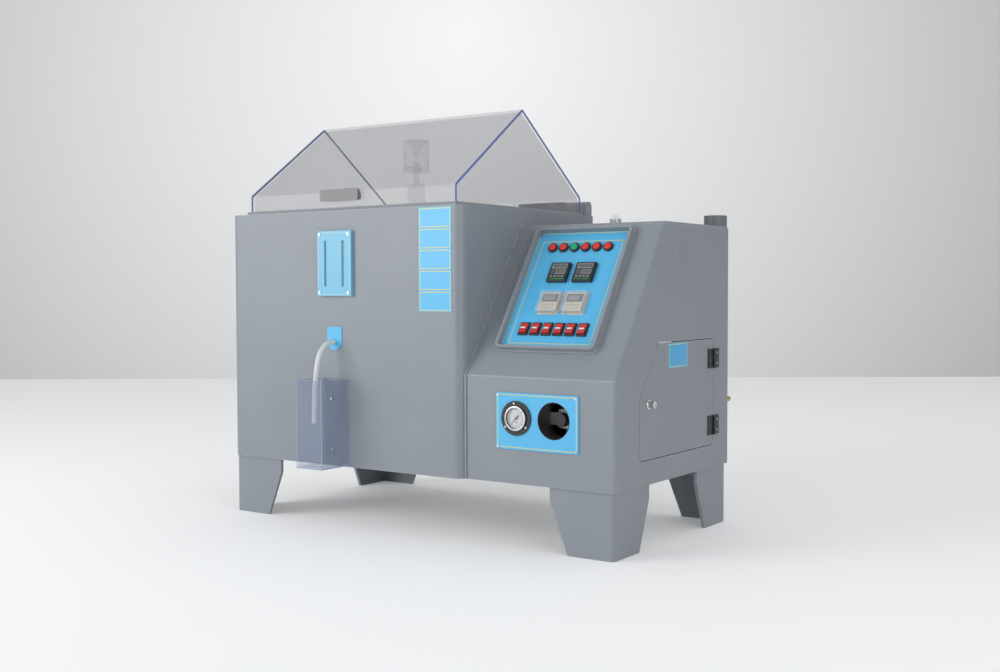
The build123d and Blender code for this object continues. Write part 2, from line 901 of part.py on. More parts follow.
def sight_tube_places():
    return (sight_x[0] + sight_tube_from_edge, sight_x[1] - sight_tube_from_edge)


def drain_badge():
    radius = (badge_x[1] - badge_x[0]) / 2
    badge = block(badge_x, (-badge_t, 0), (badge_z[0] + radius, badge_z[1]))
    badge += rod_y(badge_x[0] + radius, (-badge_t, 0), badge_z[0] + radius, radius)
    return badge - rod_y(drain_x, (-badge_t - 1, 1), drain_z, hose_r + hose_hole_gap)


def service_plate():
    plate = block(service_x, (service_face, control_setback), service_z)
    hole_y = (service_face - 1, control_setback + 1)
    plate -= rod_y(gauge_x, hole_y, gauge_z, gauge_can_r)
    return plate - rod_y(regulator_x, hole_y, regulator_z, sleeve_r)


def face_plates():
    """The bare label plates, the drain badge and the service plate."""
    pieces = [drain_badge(), service_plate()]
    for number in range(label_count):
        top = label_top - number * label_h
        pieces.append(block(label_x, (-label_t, 0), (top - label_h + plate_gap, top)))
    return group(pieces)


def sight_plate():
    plate = block(sight_x, (-sight_t, 0), sight_z)
    slot_y = (-sight_t - 1, -sight_t + sight_slot_depth)
    for x in sight_tube_places():
        plate -= block(around(x, sight_slot_w), slot_y, inset(sight_z, sight_slot_end))
    return plate


def sight_tubes():
    y = -sight_t + sight_slot_depth - sight_tube_r
    z = inset(sight_z, sight_slot_end)
    return group([rod_z(x, y, z, sight_tube_r) for x in sight_tube_places()])


def hose_bends():
    """Each arc of the hose takes up the same share of the shorter run beside it."""
    corners = [Vector(*point) for point in hose_route]
    bends = []
    for before, corner, after in zip(corners, corners[1:], corners[2:]):
        half_turn = radians((corner - before).get_angle(after - corner)) / 2
        shorter = min((corner - before).length, (after - corner).length)
        bends.append(hose_arc_share * shorter / tan(half_turn))
    return bends


def drain_hose():
    bends = hose_bends()
    path = FilletPolyline(*hose_route, radius=bends)
    hose = sweep(path.location_at(0) * Circle(hose_r), path=path)
    print("hose bend radii", [round(bend, 1) for bend in bends])
    full = pi * hose_r**2 * path.length
    print("hose length", round(path.length, 1), "share of section x length", round(hose.volume / full, 4))
    return hose


def overflow_trough():
    y = (-catch_depth, 0)
    trough = block(catch_x, y, catch_z)
    return trough - block(inset(catch_x, catch_t), inset(y, catch_t), (catch_z[0] + catch_t, catch_z[1] + 1))


def control_outline(inward):
    """The control box seen from its side, with its three bends rounded."""
    points = (
        (control_setback, leg_h),
        (control_setback, bend_z),
        (control_setback + slope_run, control_top),
        (control_back, control_top),
        (control_back, leg_h),
    )
    face = side_profile(points)
    if inward:
        face = offset(face, amount=-inward, kind=Kind.INTERSECTION)
    face = fillet(face.vertices().sort_by(Axis.Y)[2], bend_r - inward)
    apex = face.vertices().sort_by(Axis.Y)[-2:].sort_by(Axis.X)[0]
    face = fillet(apex, apex_r - inward)
    back = face.vertices().sort_by(lambda vertex: vertex.X + vertex.Y)[-1]
    return fillet(back, back_r - inward)


def door_outline(outward):
    """The side door in side view, with rounded corners, grown by a gap."""
    points = (
        (door_y[0], door_z[0]),
        (door_y[1], door_z[0]),
        (door_y[1], door_z[1]),
        (door_y[0] + door_slant, door_z[1]),
        (door_y[0], door_corner_z),
    )
    face = side_profile(points)
    if outward:
        face = offset(face, amount=outward, kind=Kind.INTERSECTION)
    return fillet(face.vertices(), door_r + outward)


def control_weld_bead():
    x = (chamber_w, chamber_w + weld_bead)
    bead = extrude_x(control_outline(-weld_bead), x)
    bead -= extrude_x(control_outline(0), inset(x, -1))
    return bead - block(inset(x, -1), (-chamber_d, 2 * chamber_d), (0, leg_h))


def cut_control_openings(shell):
    """Cut the control box for the panel, the service plate, the rear and the top fittings."""
    inner_x = inset(frame_x, panel_opening_margin)
    inner_v = inset(frame_v, panel_opening_margin)
    shell -= panel * block(inner_x, inner_v, (-2 * control_t, control_t))
    wall_y = (control_setback - 1, control_setback + control_t + 1)
    shell -= rod_y(gauge_x, wall_y, gauge_z, gauge_can_r)
    shell -= rod_y(regulator_x, wall_y, regulator_z, sleeve_r)
    back_y = (control_back - control_t - 1, control_back + 1)
    shell -= block(inset(rear_panel_x, rear_overlap), back_y, inset(rear_panel_z, rear_overlap))
    shell -= rod_y(pipe_x, back_y, pipe_elbow_z, pipe_r - pipe_t)
    for x, z in (air_inlet, water_inlet, cable_gland):
        shell -= rod_y(x, back_y, z, inlet_r)
    shell -= rod_z(barrel_x, barrel_y, (control_top - control_t - 1, control_top + 1), neck_r)
    shell -= rod_x((chamber_w - 1, chamber_w + control_t + 1), tower_y, air_pot_z, air_r)
    return shell - extrude_x(door_outline(door_gap), (total_w - 2 * control_t, total_w + 1))


def control_shell():
    x = (chamber_w, total_w)
    shell = extrude_x(control_outline(0), x)
    side_edges = shell.faces().sort_by(Axis.X)[-1].edges()
    shell = fillet([edge for edge in side_edges if edge.center().Z > leg_h + 1], side_edge_r)
    shell -= extrude_x(control_outline(control_t), inset(x, control_t))
    shell = cut_control_openings(shell + control_weld_bead())
    tab_x = (total_w - 2 * control_t, total_w - control_t)
    edge = door_y[0] - door_gap
    for z in door_tab_z:
        tab_z = around(z, 2 * door_tab_reach)
        shell += block(tab_x, (edge - door_tab_reach, edge), tab_z)
        shell += block((tab_x[0], tab_x[1] - door_tab_gap), (edge - 1, door_y[0] + door_tab_reach), tab_z)
    return welded_sheets(shell)


def welded_sheets(shell):
    """The box as the sheets it's welded from: the back, the top, the upright front and the rest."""
    margin = weld_bead + 1
    x = (chamber_w - 1, total_w + 1)
    back_y = (control_back - control_t, control_back + margin)
    top_y = (control_setback - margin, back_y[0])
    front_y = (control_setback - margin, control_setback + control_t)
    back = block(x, back_y, (leg_h - margin, control_top + margin))
    top = block(x, top_y, (control_top - control_t, control_top + margin))
    front = block(x, front_y, (leg_h - margin, bend_z))
    sheets = []
    for part in (shell & back, shell & top, shell & front, shell - back - top - front):
        sheets += part.solids()
    return group(sheets)


def panel_frame():
    """The upright ring round the panel with the weld bead at its foot."""
    frame = upright_block(frame_x, frame_v, (0, panel_rise), panel_r)
    bead_x = inset(frame_x, -weld_bead)
    bead_v = inset(frame_v, -weld_bead)
    frame += upright_block(bead_x, bead_v, (0, weld_bead), panel_r + weld_bead)
    hole_x = inset(frame_x, panel_wall)
    hole_v = inset(frame_v, panel_wall)
    return panel * (frame - upright_block(hole_x, hole_v, (-1, panel_rise + 1), panel_r - panel_wall))


def lamp_places():
    return spread(lamp_mid_x, lamp_pitch, lamp_count)


def rocker_places():
    return spread(rocker_mid_x, rocker_pitch, rocker_count)


def controller_places():
    return (controller_mid_x - controller_offset, controller_mid_x + controller_offset)


def timer_places():
    return (timer_mid_x - timer_offset, timer_mid_x + timer_offset)


def panel_plate():
    x = inset(frame_x, panel_wall + plate_gap)
    v = inset(frame_v, panel_wall + plate_gap)
    plate = upright_block(x, v, (0, plate_t), panel_r - panel_wall)
    through = (-1, plate_t + 1)
    for place in lamp_places():
        plate -= rod_z(place, lamp_v, through, lamp_barrel_r + cutout_gap)
    cutout = device_body + 2 * cutout_gap
    for place in controller_places():
        plate -= block(around(place, cutout), around(controller_v, cutout), through)
    for place in timer_places():
        plate -= block(around(place, cutout), around(timer_v, cutout), through)
    for place in rocker_places():
        hole_x = around(place, rocker_body_w + 2 * cutout_gap)
        plate -= block(hole_x, around(rocker_v, rocker_body_l + 2 * cutout_gap), through)
    return panel * plate


def lamp_bezels():
    pieces = []
    for x in lamp_places():
        bezel = rod_z(x, lamp_v, (plate_t, plate_t + lamp_bezel_t), lamp_bezel_r)
        bezel = fillet(end_circle(bezel, Axis.Z), lamp_bezel_edge_r)
        bezel += rod_z(x, lamp_v, (plate_t - lamp_barrel_len, plate_t), lamp_barrel_r)
        well = (plate_t + lamp_lens_seat, plate_t + 2 * lamp_bezel_t)
        pieces.append(panel * (bezel - rod_z(x, lamp_v, well, lamp_lens_r)))
    return group(pieces)


def lamp_lenses():
    pieces = []
    bottom = plate_t + lamp_lens_seat
    for x in lamp_places():
        lens = rod_z(x, lamp_v, (bottom, bottom + lamp_lens_h), lamp_lens_r)
        pieces.append(panel * fillet(end_circle(lens, Axis.Z), lamp_lens_bend))
    return group(pieces)


def controllers():
    pieces = []
    v = around(controller_v, controller_face)
    for x in controller_places():
        face = block(around(x, controller_face), v, (plate_t, plate_t + controller_face_t))
        face = fillet(face.faces().sort_by(Axis.Z)[-1].edges(), controller_face_r)
        body_v = around(controller_v, device_body)
        face += block(around(x, device_body), body_v, (plate_t - device_len, plate_t))
        pieces.append(panel * face)
    return group(pieces)


def timers():
    pieces = []
    for x in timer_places():
        frame_span = (timer_v - timer_frame_w / 2, timer_axis_v + timer_hinge_r)
        unit = block(around(x, timer_frame_w), frame_span, (plate_t, timer_top))
        face_h = (timer_top, timer_top + timer_face_t)
        unit += block(around(x, timer_face), around(timer_v, timer_face), face_h)
        body_h = (plate_t - device_len, plate_t)
        unit += block(around(x, device_body), around(timer_v, device_body), body_h)
        ear_v = (timer_axis_v - timer_hinge_r + timer_ear_gap, timer_axis_v + timer_hinge_r)
        near = timer_barrel_half + timer_ear_gap
        for side in (-1, 1):
            ear_x = sorted((x + side * near, x + side * (near + timer_ear_w)))
            unit += block(ear_x, ear_v, (timer_top, timer_axis_h))
            unit += rod_x(ear_x, timer_axis_v, timer_axis_h, timer_hinge_r)
        unit += rod_x(around(x, 2 * near), timer_axis_v, timer_axis_h, timer_hinge_pin_r)
        pieces.append(panel * unit)
    return group(pieces)


def timer_cover(x):
    """A clear lid over a timer, hinged along its upper edge."""
    width = around(x, timer_cover_w)
    v = around(timer_v, timer_cover_w)
    bottom = timer_top + timer_cover_gap
    top = bottom + timer_cover_h
    wall = timer_cover_t
    lid = block(width, v, (bottom, top))
    lid -= block(inset(width, wall), inset(v, wall), (bottom - 1, top - wall))
    barrel = around(x, 2 * timer_barrel_half)
    link_h = (timer_axis_h - timer_hinge_r + timer_cover_gap, timer_axis_h + timer_hinge_r)
    lid += block(barrel, (v[1] - wall, timer_axis_v), link_h)
    lid += rod_x(barrel, timer_axis_v, timer_axis_h, timer_hinge_r)
    bore_r = timer_hinge_pin_r + running_gap
    return panel * (lid - rod_x(inset(barrel, -1), timer_axis_v, timer_axis_h, bore_r))


def rocker_frames():
    pieces = []
    frame_top = plate_t + rocker_frame_t
    for x in rocker_places():
        frame = block(around(x, rocker_frame_w), around(rocker_v, rocker_frame_l), (plate_t, frame_top))
        frame = fillet(frame.faces().sort_by(Axis.Z)[-1].edges(), rocker_frame_r)
        body_h = (plate_t - rocker_body_len, plate_t)
        frame += block(around(x, rocker_body_w), around(rocker_v, rocker_body_l), body_h)
        well_x = around(x, rocker_w + 2 * rocker_side_gap)
        well_v = around(rocker_v, rocker_l + 2 * rocker_end_gap)
        frame -= block(well_x, well_v, (rocker_pivot - rocker_below - rocker_well_gap, frame_top + 1))
        pivot_x = around(x, rocker_w + 2 * rocker_pivot_len + 1)
        frame -= rod_x(pivot_x, rocker_v, rocker_pivot, rocker_pivot_r + running_gap)
        pieces.append(panel * frame)
    return group(pieces)


def rocker(x):
    """A rocker at rest, tipped one way about its pivot."""
    half = rocker_l / 2
    outline = (
        (-half, -rocker_below),
        (half, -rocker_below),
        (half, rocker_above),
        (0, rocker_above - rocker_dip),
        (-half, rocker_above),
    )
    body = extrude_x(side_profile(outline), around(0, rocker_w))
    body += rod_x(around(0, rocker_w + 2 * rocker_pivot_len), 0, 0, rocker_pivot_r)
    return panel * Pos(x, rocker_v, rocker_pivot) * Rot(-rocker_tilt, 0, 0) * body


def gauge_case():
    case = rod_y(gauge_x, (service_face - gauge_flange_t, service_face), gauge_z, gauge_flange_r)
    front = service_face - gauge_proud
    case += rod_y(gauge_x, (front, control_setback + gauge_can_back), gauge_z, gauge_can_r)
    case -= rod_y(gauge_x, (front - 1, dial_y), gauge_z, gauge_can_r - gauge_wall)
    post_front = dial_y - needle_lift - needle_t - needle_post_rise
    return case + rod_y(gauge_x, (post_front, dial_y + 1), gauge_z, needle_post_r)


def gauge_needle():
    outline = (
        (needle_len, 0),
        (0, needle_w / 2),
        (-needle_tail, needle_w),
        (-needle_tail, -needle_w),
        (0, -needle_w / 2),
    )
    needle = extrude(make_face(Polyline(*outline, close=True)), needle_t)
    needle += rod_z(0, 0, (0, needle_t), needle_hub_r)
    needle -= rod_z(0, 0, (-1, needle_t + 1), needle_post_r + running_gap)
    return Pos(gauge_x, dial_y - needle_lift, gauge_z) * Rot(90, 0, 0) * Rot(0, 0, needle_zero) * needle


def gauge_lens():
    front = service_face - gauge_proud + gauge_lens_depth
    return rod_y(gauge_x, (front, front + gauge_lens_t), gauge_z, gauge_can_r - gauge_wall)


def gauge_bezel():
    front = service_face - gauge_proud
    ring = rod_y(gauge_x, (front - gauge_bezel_t, front), gauge_z, gauge_can_r)
    ring = fillet(end_circle(ring, Axis.Y, last=False), gauge_bezel_t * 0.8)
    return ring - rod_y(gauge_x, (front - 2 * gauge_bezel_t, front + 1), gauge_z, gauge_can_r - gauge_bezel_w)


def regulator_sleeve():
    y = (service_face, sleeve_back)
    sleeve = rod_y(regulator_x, y, regulator_z, sleeve_r)
    return sleeve - rod_y(regulator_x, inset(y, -1), regulator_z, sleeve_r - sleeve_t)


def regulator_body():
    width = around(regulator_x, 2 * regulator_half)
    body_y = (regulator_start, regulator_start + regulator_len)
    body = block(width, body_y, around(regulator_z, 2 * regulator_half))
    body = fillet(body.edges().filter_by(Axis.Y), regulator_edge_r)
    bracket_y = (sleeve_back, sleeve_back + bracket_t)
    body += block(around(regulator_x, 2 * bracket_half_w), bracket_y, around(regulator_z, 2 * bracket_half_h))
    body += rod_y(regulator_x, (sleeve_back + 1, regulator_start + 1), regulator_z, regulator_neck_r)
    bowl_top = regulator_z - regulator_half
    bowl_z = (bowl_top - regulator_bowl_len, bowl_top)
    body += rod_z(regulator_x, sum(body_y) / 2, bowl_z, regulator_bowl_r)
    seat = (sleeve_back - 1, sleeve_back + regulator_stem_seat + 1)
    return body - rod_y(regulator_x, seat, regulator_z, knob_stem_r + running_gap)


def knob_limits():
    back = sleeve_back - knob_back_gap
    return (back - knob_len, back)


def regulator_stem():
    front = knob_limits()[0] + knob_front_wall + knob_bore_rest
    return rod_y(regulator_x, (front, sleeve_back + regulator_stem_seat), regulator_z, knob_stem_r)


def regulator_knob():
    y = knob_limits()
    knob = rod_y(regulator_x, y, regulator_z, knob_r)
    knob = fillet(end_circle(knob, Axis.Y, last=False), knob_edge_r)
    groove = rod_y(knob_r + knob_rib_r / 3, (y[0] + knob_rib_start, y[1] + 1), 0, knob_rib_r)
    for number in range(knob_ribs):
        knob -= Pos(regulator_x, 0, regulator_z) * Rot(0, number * 360 / knob_ribs, 0) * groove
    bore_y = (y[0] + knob_front_wall, y[1] + 1)
    return knob - rod_y(regulator_x, bore_y, regulator_z, knob_stem_r + running_gap)


def side_door():
    door = extrude_x(door_outline(0), (total_w - control_t, total_w))
    return door - rod_x((total_w - 2 * control_t, total_w + 1), lock_y, lock_z, lock_barrel_r)


def hinge_leaf(z, side):
    """One leaf with its share of the knuckles; side -1 is the door's leaf."""
    knuckle = leaf_h / 3
    x = (total_w, total_w + leaf_t)
    start = door_axis_y + side * leaf_start
    far = start + side * leaf_w
    leaf = block(x, sorted((start, far)), around(z, leaf_h))
    spans = [(z - leaf_h / 2, z - knuckle / 2), (z + knuckle / 2, z + leaf_h / 2)]
    if side < 0:
        spans = [around(z, knuckle - 2 * knuckle_split_gap)]
    for span in spans:
        web_x = (total_w + 2 * leaf_lift, x[1])
        leaf += block(web_x, sorted((door_axis_y, start + side)), span)
        leaf += rod_z(door_axis_x, door_axis_y, span, leaf_knuckle_r)
    gap = running_gap if side < 0 else 0
    return leaf - rod_z(door_axis_x, door_axis_y, around(z, leaf_h + 2), leaf_pin_r + gap)


def leaf_screws(side):
    heads = []
    y = door_axis_y + side * leaf_screw_reach
    x = (total_w + leaf_t, total_w + leaf_t + leaf_screw_t)
    for middle in door_hinge_z:
        for z in around(middle, leaf_screw_span):
            heads.append(rod_x(x, y, z, leaf_screw_r))
    return heads


def door_hinge_fixed():
    leaves = [hinge_leaf(z, 1) for z in door_hinge_z]
    pins = [rod_z(door_axis_x, door_axis_y, around(z, leaf_h), leaf_pin_r) for z in door_hinge_z]
    return group(leaves + pins)


def door_hinge_moving():
    return group([hinge_leaf(z, -1) for z in door_hinge_z] + leaf_screws(-1))


def door_lock_body():
    flange = rod_x((total_w, total_w + lock_flange_t), lock_y, lock_z, lock_flange_r)
    flange = fillet(end_circle(flange, Axis.X), lock_flange_edge_r)
    barrel_span = (total_w - control_t - lock_inside, total_w + lock_reach)
    barrel = flange + rod_x(barrel_span, lock_y, lock_z, lock_barrel_r)
    return barrel - rod_x(inset(barrel_span, -1), lock_y, lock_z, lock_plug_r + running_gap)


def door_lock_plug():
    """The lock's turning plug and its cam, at rest in the open position."""
    cam_front = total_w - control_t - lock_inside - lock_cam_gap
    cam_x = (cam_front - lock_cam_t, cam_front)
    plug_front = total_w + lock_reach - lock_plug_sink
    plug = rod_x((cam_x[0], plug_front), lock_y, lock_z, lock_plug_r)
    plug += block(cam_x, around(lock_y, lock_cam_w), (lock_z - lock_tail, lock_z + lock_cam_len))
    slot_x = (plug_front - key_slot_depth, plug_front + 1)
    return plug - block(slot_x, around(lock_y, key_slot_w), around(lock_z, key_slot_h))


def saturator_barrel():
    z = (leg_h + control_t, leg_h + control_t + barrel_h)
    barrel = rod_z(barrel_x, barrel_y, z, barrel_r)
    barrel = fillet(end_circle(barrel, Axis.Z), barrel_shoulder_r)
    reach = barrel_r + barrel_port_len
    barrel += rod_y(barrel_x, (barrel_y - reach, barrel_y), regulator_z, barrel_port_r)
    barrel += rod_x((barrel_x - reach, barrel_x), barrel_y, air_pot_z, barrel_port_r)
    hollow = rod_z(barrel_x, barrel_y, inset(z, barrel_t), barrel_r - barrel_t)
    hollow = fillet(end_circle(hollow, Axis.Z), barrel_shoulder_r - barrel_t)
    neck_z = (z[1], control_top + neck_rise)
    neck = rod_z(barrel_x, barrel_y, neck_z, neck_r)
    bore = rod_z(barrel_x, barrel_y, (z[1] - barrel_t - 1, neck_z[1] + 1), neck_r - neck_t)
    return group([barrel - hollow - bore, neck - bore])


def filler_cap():
    """A clear cap with a pointed roof that rests on the neck's rim."""
    bottom = control_top + filler_lift
    skirt_top = bottom + filler_skirt_h
    rim = control_top + neck_rise
    inner = neck_r + neck_gap
    cap = rod_z(barrel_x, barrel_y, (bottom, skirt_top), inner + filler_skirt_t)
    cap += Pos(barrel_x, barrel_y, skirt_top + filler_roof_h / 2) * Cone(filler_roof_r, 1, filler_roof_h)
    cap -= rod_z(barrel_x, barrel_y, (bottom - 1, rim), inner)
    hollow_h = filler_roof_h - filler_roof_t
    return cap - Pos(barrel_x, barrel_y, rim + hollow_h / 2) * Cone(neck_r - neck_t, 0.5, hollow_h)


def air_lines():
    side_y = regulator_start + regulator_len / 2
    supply = (
        (air_inlet[0], control_back - control_t, air_inlet[1]),
        (air_inlet[0], side_y, air_inlet[1]),
        (regulator_x + regulator_half, side_y, air_inlet[1]),
    )
    port = barrel_r + barrel_port_len
    start = regulator_start + regulator_len
    feed = (
        (regulator_x, start, regulator_z),
        (regulator_x, start + air_straight, regulator_z),
        (barrel_x, barrel_y - port - air_straight, regulator_z),
        (barrel_x, barrel_y - port, regulator_z),
    )
    wet = (
        (barrel_x - port, barrel_y, air_pot_z),
        (air_cross_x, barrel_y, air_pot_z),
        (air_cross_x, tower_y, air_pot_z),
        (tower_x + pot_r, tower_y, air_pot_z),
    )
    return group([swept_rod(points, air_bend_r, air_r, air_bore_r) for points in (supply, feed, wet)])


def electrics():
    wall = chamber_w + control_t
    plate_front = wall + mount_plate_t
    unit_start = plate_front - 1
    plate = block((wall, plate_front), mount_plate_y, mount_plate_z)
    front, back = mount_plate_y
    for start, end, z0, z1, depth in electric_units:
        unit_y = (front + start * (back - front), front + end * (back - front))
        plate += block((unit_start, plate_front + depth), unit_y, (z0, z1))
    return plate


def elbow_solid(radius, start, end):
    """A quarter-turn elbow round the origin, with its foot towards -Y and its mouth at the top."""
    solid = rod_z(0, 0, (0, end), radius) + rod_y(0, (start, 0), 0, radius)
    return solid + Sphere(radius)


def exhaust_pipe():
    """The elbow on the back wall and the straight pipe that stands on it."""
    foot = control_back - pipe_y
    top = pipe_top - pipe_elbow_z
    bore = elbow_solid(pipe_r - pipe_t, foot - 1, top + 1)
    elbow = elbow_solid(pipe_r, foot, pipe_r) - bore
    straight = rod_z(0, 0, (pipe_r, top), pipe_r) - bore
    return Pos(pipe_x, pipe_y, pipe_elbow_z) * group([elbow, straight])


def rear_panel():
    plate = block(rear_panel_x, (control_back, control_back + rear_panel_t), rear_panel_z)
    width = around(sum(rear_panel_x) / 2, louvre_w)
    y = (control_back - 1, control_back + rear_panel_t + 1)
    for number in range(louvre_count):
        plate -= block(width, y, around(rear_panel_z[1] - louvre_from_top - number * louvre_pitch, louvre_h))
    return plate


def rear_fitting(place, nut_r, nut_len, length, bore_r):
    x, z = place
    inner = control_back - control_t
    nut = rod_y(x, (control_back, control_back + nut_len), z, nut_r)
    stub = rod_y(x, (inner, control_back + length), z, inlet_r)
    return nut + stub - rod_y(x, (inner - 1, control_back + length + 1), z, bore_r)


def rear_fittings():
    return group([
        rear_fitting(air_inlet, inlet_nut_r, inlet_nut_len, inlet_len, air_bore_r),
        rear_fitting(water_inlet, inlet_nut_r, inlet_nut_len, inlet_len, air_bore_r),
        rear_fitting(cable_gland, gland_r, gland_len, gland_len, gland_bore_r),
    ])


def drain_valve():
    boss_top = valve_z + valve_r + valve_boss_rise
    body = rod_y(valve_x, (chamber_d, chamber_d + valve_len), valve_z, valve_r)
    body += rod_z(valve_x, valve_stem_y, (valve_z, boss_top), valve_boss_r)
    body += rod_z(valve_x, valve_stem_y, (boss_top - 1, boss_top + valve_stem_len), valve_stem_r)
    return body - rod_y(valve_x, (chamber_d - 1, chamber_d + valve_len + 1), valve_z, valve_bore_r)


def drain_lever():
    bottom = valve_z + valve_r + valve_boss_rise + lever_gap
    height = (bottom, bottom + lever_t)
    lever = block((valve_x, valve_x + lever_len), around(valve_stem_y, lever_w), height)
    lever += rod_z(valve_x, valve_stem_y, height, lever_hub_r)
    return lever - rod_z(valve_x, valve_stem_y, inset(height, -1), valve_stem_r + running_gap)


def front_screws(places, face, radius=screw_head_r):
    """Screw heads that stand on an upright face, looking to the front."""
    return [rod_y(x, (face - screw_head_t, face), z, radius) for x, z in places]


def corners(x, z):
    return [(one, other) for one in x for other in z]


def screws():
    sight = corners(inset(sight_x, sight_screw_inset), inset(sight_z, sight_screw_inset))
    service = corners(inset(service_x, service_screw_inset), inset(service_z, service_screw_inset))
    gauge = []
    for angle in gauge_screw_angles:
        x = gauge_x + gauge_screw_ring_r * cos(radians(angle))
        z = gauge_z + gauge_screw_ring_r * sin(radians(angle))
        gauge.append((x, z))
    heads = front_screws(sight, -sight_t) + front_screws(service, service_face)
    heads += front_screws(catch_screws, -catch_t)
    heads += front_screws(gauge, service_face - gauge_flange_t, small_screw_r)
    edge = panel_wall + panel_screw_inset
    for x, v in corners(inset(frame_x, edge), inset(frame_v, edge)):
        heads.append(panel * rod_z(x, v, (plate_t, plate_t + screw_head_t), screw_head_r))
    catch_v = (panel_bottom - screw_head_t, panel_bottom)
    heads.append(panel * rod_y(panel_catch_x, catch_v, panel_catch_h, small_screw_r))
    rear = control_back + rear_panel_t
    rear_corners = corners(inset(rear_panel_x, rear_overlap / 2), inset(rear_panel_z, rear_overlap / 2))
    for x, z in rear_corners:
        heads.append(rod_y(x, (rear, rear + screw_head_t), z, screw_head_r))
    return group(heads + leaf_screws(1))


def all_pieces():
    builders = (
        chamber_shell, seal_trough, inner_tank, legs, cover_panels, cover_handle, cover_knuckles,
        cover_bearings, cover_hinge_pins, tower_base, tower_tube, tower_cap,
        specimen_rack, fog_collectors, tank_heater, brine_tank, face_plates, sight_plate,
        sight_tubes, drain_hose, overflow_trough, control_shell, panel_frame, panel_plate,
        lamp_bezels, lamp_lenses, controllers, timers, rocker_frames, gauge_case, gauge_needle,
        gauge_lens, gauge_bezel, regulator_sleeve, regulator_body, regulator_stem,
        regulator_knob, side_door, door_hinge_fixed, door_hinge_moving, door_lock_body,
        door_lock_plug, saturator_barrel, filler_cap, air_lines, electrics, exhaust_pipe,
        rear_panel, rear_fittings, drain_valve, drain_lever, screws,
    )
    pieces = {builder.__name__: builder() for builder in builders}
    for number, x in enumerate(timer_places(), 1):
        pieces[f"timer_cover_{number}"] = timer_cover(x)
    for number, x in enumerate(rocker_places(), 1):
        pieces[f"rocker_{number}"] = rocker(x)
    return pieces


os.makedirs("parts", exist_ok=True)
shift = Pos(-sum(overall_x) / 2, -sum(overall_y) / 2, 0)
for name, piece in all_pieces().items():
    export_step(shift * piece, f"parts/{name}.step")
    print(name, len(piece.solids()), round(piece.volume / 1000, 2))
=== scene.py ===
import json
import math

import bmesh
import bpy
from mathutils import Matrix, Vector


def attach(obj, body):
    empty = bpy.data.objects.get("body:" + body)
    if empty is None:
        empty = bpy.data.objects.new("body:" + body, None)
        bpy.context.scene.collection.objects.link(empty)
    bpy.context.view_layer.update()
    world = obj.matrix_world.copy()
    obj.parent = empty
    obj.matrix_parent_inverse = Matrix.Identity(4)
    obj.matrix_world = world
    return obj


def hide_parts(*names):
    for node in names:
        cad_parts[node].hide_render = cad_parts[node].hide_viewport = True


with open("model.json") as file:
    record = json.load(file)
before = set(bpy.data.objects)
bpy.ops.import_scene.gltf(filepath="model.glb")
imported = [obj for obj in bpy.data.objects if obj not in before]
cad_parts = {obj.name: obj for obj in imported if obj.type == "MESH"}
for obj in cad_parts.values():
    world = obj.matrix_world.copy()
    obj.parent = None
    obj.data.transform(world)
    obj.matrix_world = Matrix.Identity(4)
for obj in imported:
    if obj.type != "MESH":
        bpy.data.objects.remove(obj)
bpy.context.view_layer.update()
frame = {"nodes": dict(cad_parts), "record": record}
nodes = frame["nodes"]

# The bench frame counts x from the chamber's left face, y from its front and z from the floor, in mm.
BENCH_X, BENCH_Y = 543.0, 261.0
BOX_FRONT, BEND_Z = 14.0, 363.0
SLOPE = math.atan2(215.0, 328.0)
LAMPS_X, LAMP_PITCH, LAMP_REACH = 886.0, 28.04, 0.012
DUST_COLOUR = (0.42, 0.41, 0.39)


def bench(x, y, z):
    return Vector(((x - BENCH_X) / 1000, (y - BENCH_Y) / 1000, z / 1000))


def on_slope(x, v, h):
    """A place on the sloped panel: x across, v up from the bend and h off the surface."""
    y = BOX_FRONT + v * math.sin(SLOPE) - h * math.cos(SLOPE)
    return bench(x, y, BEND_Z + v * math.cos(SLOPE) + h * math.sin(SLOPE))


def on_front(face):
    """A placing function for plates on an upright front face."""
    return lambda x, z, h: bench(x, face - h, z)


def on_side(face):
    """A placing function for plates on a face that looks to the right."""
    return lambda y, z, h: bench(face + h, y, z)


# Node building

def feed(tree, made, inputs):
    """Gives a node's inputs either a socket to link or a plain value."""
    for key, value in inputs.items():
        if isinstance(value, bpy.types.NodeSocket):
            tree.links.new(value, made.inputs[key])
        else:
            made.inputs[key].default_value = value


def put(tree, kind, inputs=None, **settings):
    """Adds a node with its settings and inputs."""
    made = tree.nodes.new(kind)
    for key, value in settings.items():
        setattr(made, key, value)
    feed(tree, made, inputs or {})
    return made


def calc(tree, operation, first, second=0.0, clamp=False):
    made = put(tree, "ShaderNodeMath", {0: first, 1: second}, operation=operation)
    made.use_clamp = clamp
    return made.outputs[0]


def blend_colour(tree, factor, first, second):
    """A Mix node for colours, whose sockets are 0, 6 and 7 in and 2 out."""
    return put(tree, "ShaderNodeMix", {0: factor, 6: first, 7: second}, data_type="RGBA").outputs[2]


def spread_values(tree, value, low, high, out_low=0.0, out_high=1.0):
    inputs = {"Value": value, "From Min": low, "From Max": high, "To Min": out_low, "To Max": out_high}
    return put(tree, "ShaderNodeMapRange", inputs).outputs[0]


def object_place(tree):
    return put(tree, "ShaderNodeTexCoord").outputs["Object"]


def noise_value(tree, place, scale, detail):
    return put(tree, "ShaderNodeTexNoise", {"Vector": place, "Scale": scale, "Detail": detail}).outputs[0]


def group_tree(name, inputs, outputs):
    tree = bpy.data.node_groups.new(name, "ShaderNodeTree")
    for label, value in inputs:
        made = tree.interface.new_socket(label, in_out="INPUT", socket_type="NodeSocketFloat")
        made.default_value = value
    for label in outputs:
        tree.interface.new_socket(label, in_out="OUTPUT", socket_type="NodeSocketFloat")
    return tree, tree.nodes.new("NodeGroupInput"), tree.nodes.new("NodeGroupOutput")


